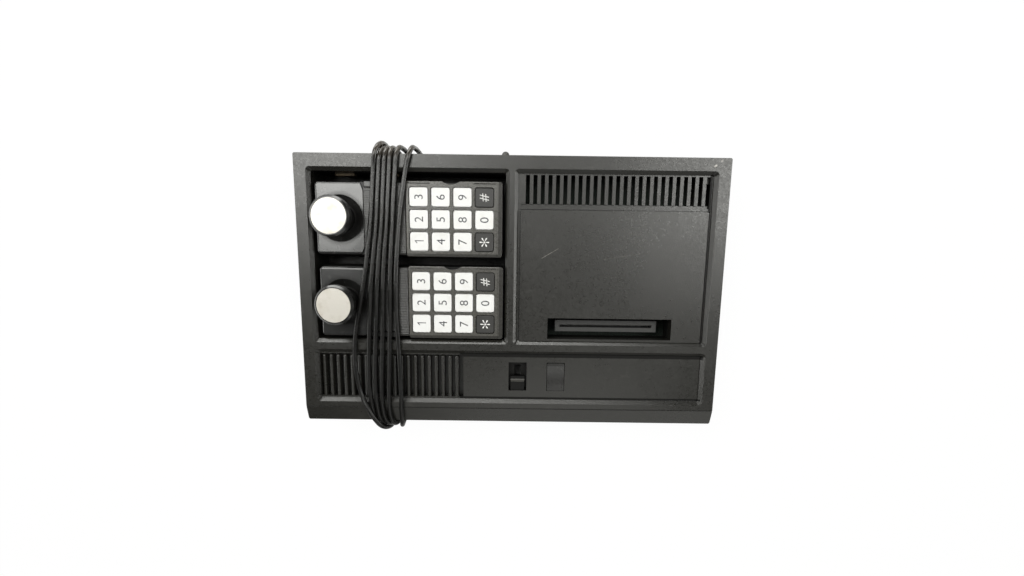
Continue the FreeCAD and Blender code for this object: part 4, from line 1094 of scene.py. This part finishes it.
@dataclass
class Studio:
    """Pale floor, soft light and the camera above the console."""

    camera_place: Point = (0.73, 39.12, 478.08)
    tilt: float = 9.39
    yaw: float = -0.08
    roll: float = 0.74
    sensor: float = 36.0
    near: float = 0.01
    focal: float = 500.0
    frame_width: float = 1024.0
    frame_height: float = 576.0
    centre_row: float = 330.57
    surroundings: float = 0.1
    floor_reach: float = 4.0
    floor_grey: Colour = (0.93, 0.93, 0.93)
    floor_seen: float = 0.96
    lamp_tint: Colour = (1.0, 1.0, 0.965)
    lamp_aim: Point = (0, 0, 0.03)
    boxes: Sequence[SoftBox] = (
        SoftBox("left_box", (-0.6, 0.56, 1.45), 1.0, 0.78, 9.0),
        SoftBox("right_box", (0.84, 0.28, 1.45), 0.55, 0.55, 9.5),
        SoftBox("top_box", (0.25, 0.4, 1.6), 1.3, 0.7, 1.4),
        SoftBox("front_box", (0.38, -1.5, 1.1), 1.6, 1.6, 1.1),
        SoftBox("front_top_card", (0.12, -0.63, 1.3), 0.74, 0.42, 1.8, card=True),
        SoftBox("back_low_card", (-0.45, 1.7, 0.34), 2.0, 0.7, 8.0, card=True),
        SoftBox("right_low_card", (1.7, 0.2, 0.3), 1.4, 0.6, 7.0, card=True),
        SoftBox("left_low_card", (-1.5, 0.1, 0.55), 1.2, 0.6, 5.5, card=True))

    def build(self) -> None:
        """Make the camera, floor, lamps and world."""
        self.camera()
        self.floor()
        for box in self.boxes:
            self.lamp(box)
        self.world()
        bpy.context.scene.view_settings.view_transform = "Standard"

    def camera(self) -> None:
        """Camera at the photograph's place, angle and field of view."""
        data = bpy.data.cameras.new("camera")
        data.sensor_width = self.sensor
        data.lens = self.focal * data.sensor_width / self.frame_width
        data.shift_y = (self.centre_row - self.frame_height / 2) / self.frame_width
        data.clip_start = self.near
        camera = bpy.data.objects.new("camera", data)
        flip = Matrix(((1, 0, 0), (0, -1, 0), (0, 0, -1)))
        turn = (Matrix.Rotation(math.radians(self.roll), 3, "Z")
                @ Matrix.Rotation(math.radians(self.yaw), 3, "Y")
                @ Matrix.Rotation(math.radians(self.tilt), 3, "X") @ flip)
        view = (flip @ turn).transposed().to_4x4()
        camera.matrix_world = Matrix.Translation(Vector(self.camera_place) * MM) @ view
        bpy.context.scene.collection.objects.link(camera)
        bpy.context.scene.camera = camera

    def floor(self) -> None:
        """Pale floor that the camera sees as white."""
        mesh = bpy.data.meshes.new("floor")
        shape = bmesh.new()
        bmesh.ops.create_grid(shape, x_segments=1, y_segments=1, size=self.floor_reach)
        shape.to_mesh(mesh)
        shape.free()
        floor = bpy.data.objects.new("floor", mesh)
        bpy.context.scene.collection.objects.link(floor)
        tree = Tree("pale_floor")
        tree.dress(self.floor_grey, 0.9, specular=0.1)
        glow = tree.node("ShaderNodeEmission", None, {"Color": (1.0, 1.0, 1.0), "Strength": 1.0})
        path = tree.node("ShaderNodeLightPath")
        seen = Wire(tree, path.outputs["Is Camera Ray"])
        mixed = tree.node("ShaderNodeMixShader", None, {0: seen * self.floor_seen})
        output = tree.nodes["Material Output"]
        tree.links.new(tree.shader.outputs[0], mixed.inputs[1])
        tree.links.new(glow.outputs[0], mixed.inputs[2])
        tree.links.new(mixed.outputs[0], output.inputs["Surface"])
        mesh.materials.append(tree.material)

    def lamp(self, box: SoftBox) -> None:
        """Hang one soft box or card and turn it to the console.

        Args:
            box: its place, size and glow.
        """
        data = bpy.data.lights.new(box.name, "AREA")
        data.shape = "RECTANGLE"
        data.size = box.width
        data.size_y = box.height
        data.energy = box.glow * math.pi * box.width * box.height
        data.color = self.lamp_tint
        lamp = bpy.data.objects.new(box.name, data)
        lamp.location = box.place
        lamp.visible_diffuse = not box.card
        towards = Vector(self.lamp_aim) - Vector(box.place)
        lamp.rotation_euler = towards.to_track_quat("-Z", "Y").to_euler()
        bpy.context.scene.collection.objects.link(lamp)

    def world(self) -> None:
        """Dim even surroundings."""
        world = bpy.data.worlds.new("studio")
        world.use_nodes = True
        background = world.node_tree.nodes["Background"]
        background.inputs["Color"].default_value = (1, 1, 1, 1)
        background.inputs["Strength"].default_value = self.surroundings
        bpy.context.scene.world = world


# Finish of every carried-over piece

@dataclass(frozen=True)
class PadLook:
    """What differs between the two controllers, in millimetres where it is a place.

    Much of it stands in for light: the painted highlight past back_edge, the strength of the painted shade
    and the frame rims it covers, and the upper pad's stronger sheen and paler disc, which catch more light.
    """

    pad: Pad
    plate_end: float
    back_edge: float
    dish: Span
    painted_shade_strength: float
    sheen: float
    frame_rim: Span
    disc: Colour
    disc_tarnish: Colour


@dataclass
class Dressing:
    """Which finish each carried-over CAD node gets."""

    looks: Sequence[PadLook] = (
        # painted highlight, painted shade, sheen and disc colours differ per pad to stand for the light each
        # catches
        PadLook(Pad.UPPER, plate_end=-122.6, back_edge=90.8, dish=(-141.9, 61.4), painted_shade_strength=0.7, sheen=0.62,
                frame_rim=(-11.2, 33.4), disc=(0.55, 0.53, 0.49), disc_tarnish=(0.4, 0.36, 0.3)),
        PadLook(Pad.LOWER, plate_end=-121.4, back_edge=21.6, dish=(-140.9, -7.6), painted_shade_strength=0.85, sheen=0.45,
                frame_rim=(-10.2, -35.6), disc=(0.49, 0.47, 0.43), disc_tarnish=(0.35, 0.31, 0.26)))
    slider_ridge: float = -75.3
    plug_edge: float = -161.0
    key_round: float = 0.5
    key_steps: int = 3
    key_angle: float = 30.0
    button_round: float = 0.3

    def case(self) -> list[bpy.types.Object]:
        """Housings and what shows in their openings.

        Returns:
            The dressed pieces.
        """
        base = Grained("case_base", roughness=0.5).make()
        inner = Grained("inner_plastic", (0.03, 0.03, 0.029), roughness=0.55, grain=900.0, relief=0.00003,
                        dust=0.1).make()
        rubber = Grained("foot_rubber", (0.02, 0.02, 0.02), roughness=0.8, grain=700.0, relief=0.0001,
                         dust=0.6).make()
        reset = Grained("reset_plastic", (0.008, 0.0077, 0.007), roughness=0.3, grain=1800.0,
                        relief=0.00002).make()
        steel = Brushed("steel_screws", (0.5, 0.5, 0.5), tarnish=(0.3, 0.27, 0.24), roughness=0.3).make()
        # shield kept dark: painted shade inside the case
        tin = Brushed("tinned_shield", (0.2, 0.195, 0.18), tarnish=(0.12, 0.11, 0.095), roughness=0.55,
                      metal=0.8, stretch=(1.0, 0.2, 1.0)).make()
        finishes = {
            "top_housing": CaseTop("case_top").make(), "base_housing": base, "expansion_cover": base,
            "rubber_feet": rubber, "case_screws": steel, "main_board": Board("main_board_green").make(),
            "rf_shield": tin, "cartridge_connector": inner, "power_switch_body": inner,
            "power_slider": Ridged("slider_plastic", self.slider_ridge).make(), "reset_button": reset,
            "controller_ports": Plated("port_shells").make(), "channel_lever": inner,
            "power_inlet": Grained("inlet_plastic", (0.02, 0.02, 0.02), roughness=0.5).make(),
            "lead_strain_relief": Sleeve("relief_rubber", roughness=0.5).make(),
            "lead_plug": Tipped("plug_parts", self.plug_edge).make()}
        return [cover(name, finish) for name, finish in finishes.items()]

    def pads(self) -> list[bpy.types.Object]:
        """Both controllers apart from their sticks.

        Returns:
            The dressed pieces.
        """
        white = KeyRubber("key_white", (0.72, 0.72, 0.71), (0.56, 0.54, 0.49)).make()
        dark = KeyRubber("key_dark", (0.012, 0.0115, 0.0102), (0.035, 0.033, 0.03)).make()
        button = Grained("side_button_plastic", (0.018, 0.018, 0.017), roughness=0.34, relief=0.00003,
                         dust=0.3).make()
        ring = Grained("ring_plastic", (0.03, 0.03, 0.03), roughness=0.4).make()
        board = Board("keypad_board_green").make()
        dressed = []
        for look in self.looks:
            pad = look.pad.value
            shell = PadShell(f"{pad}_shell", look.plate_end, look.back_edge, look.dish, look.painted_shade_strength,
                             look.sheen).make()
            disc = Brushed(f"{pad}_disc_metal", look.disc, tarnish=look.disc_tarnish, roughness=0.42,
                           metal=0.85).make()
            for kind, finish in (("front_shell", shell), ("back_shell", shell), ("keypad_board", board),
                                 ("keypad_frame", FrameGrid(f"{pad}_frame", rim=look.frame_rim).make()),
                                 ("gimbal_ring", ring), ("knob_disc", disc)):
                dressed.append(cover(f"{pad}_{kind}", finish))
            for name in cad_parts:
                if name.startswith(f"{pad}_key_"):
                    key = cover(name, dark if name.endswith(("star", "hash")) else white)
                    soften(key, self.key_round, self.key_steps, self.key_angle)
                    dressed.append(key)
                elif name.startswith(f"{pad}_side_button"):
                    side_button = cover(name, button)
                    soften(side_button, self.button_round)
                    dressed.append(side_button)
        return dressed


def report(pieces: Sequence[bpy.types.Object]) -> None:
    """Log each piece with its finish.

    Args:
        pieces: finished pieces of one sub-assembly.
    """
    for piece in pieces:
        log.info("%s in %s", piece.name, piece.data.materials[0].name)


def main() -> None:
    """Build every sub-assembly in order and report its pieces."""
    logging.basicConfig(level=logging.INFO, format="%(name)s %(message)s")
    Studio().build()
    report([Lead().build(Sleeve("lead_sleeve").make())])
    dressing = Dressing()
    report(dressing.case())
    report(dressing.pads())
    report(Knobs().build(Grip("knob_plastic").make()))
    dark_ink = Ink("ink_dark", (0.03, 0.03, 0.038), WHITE_PAPER).make()
    pale_ink = Ink("ink_pale", WHITE_PAPER, (0.1, 0.1, 0.1)).make()
    report(Legends().build(dark_ink, pale_ink))


if __name__ == "__main__":
    main()
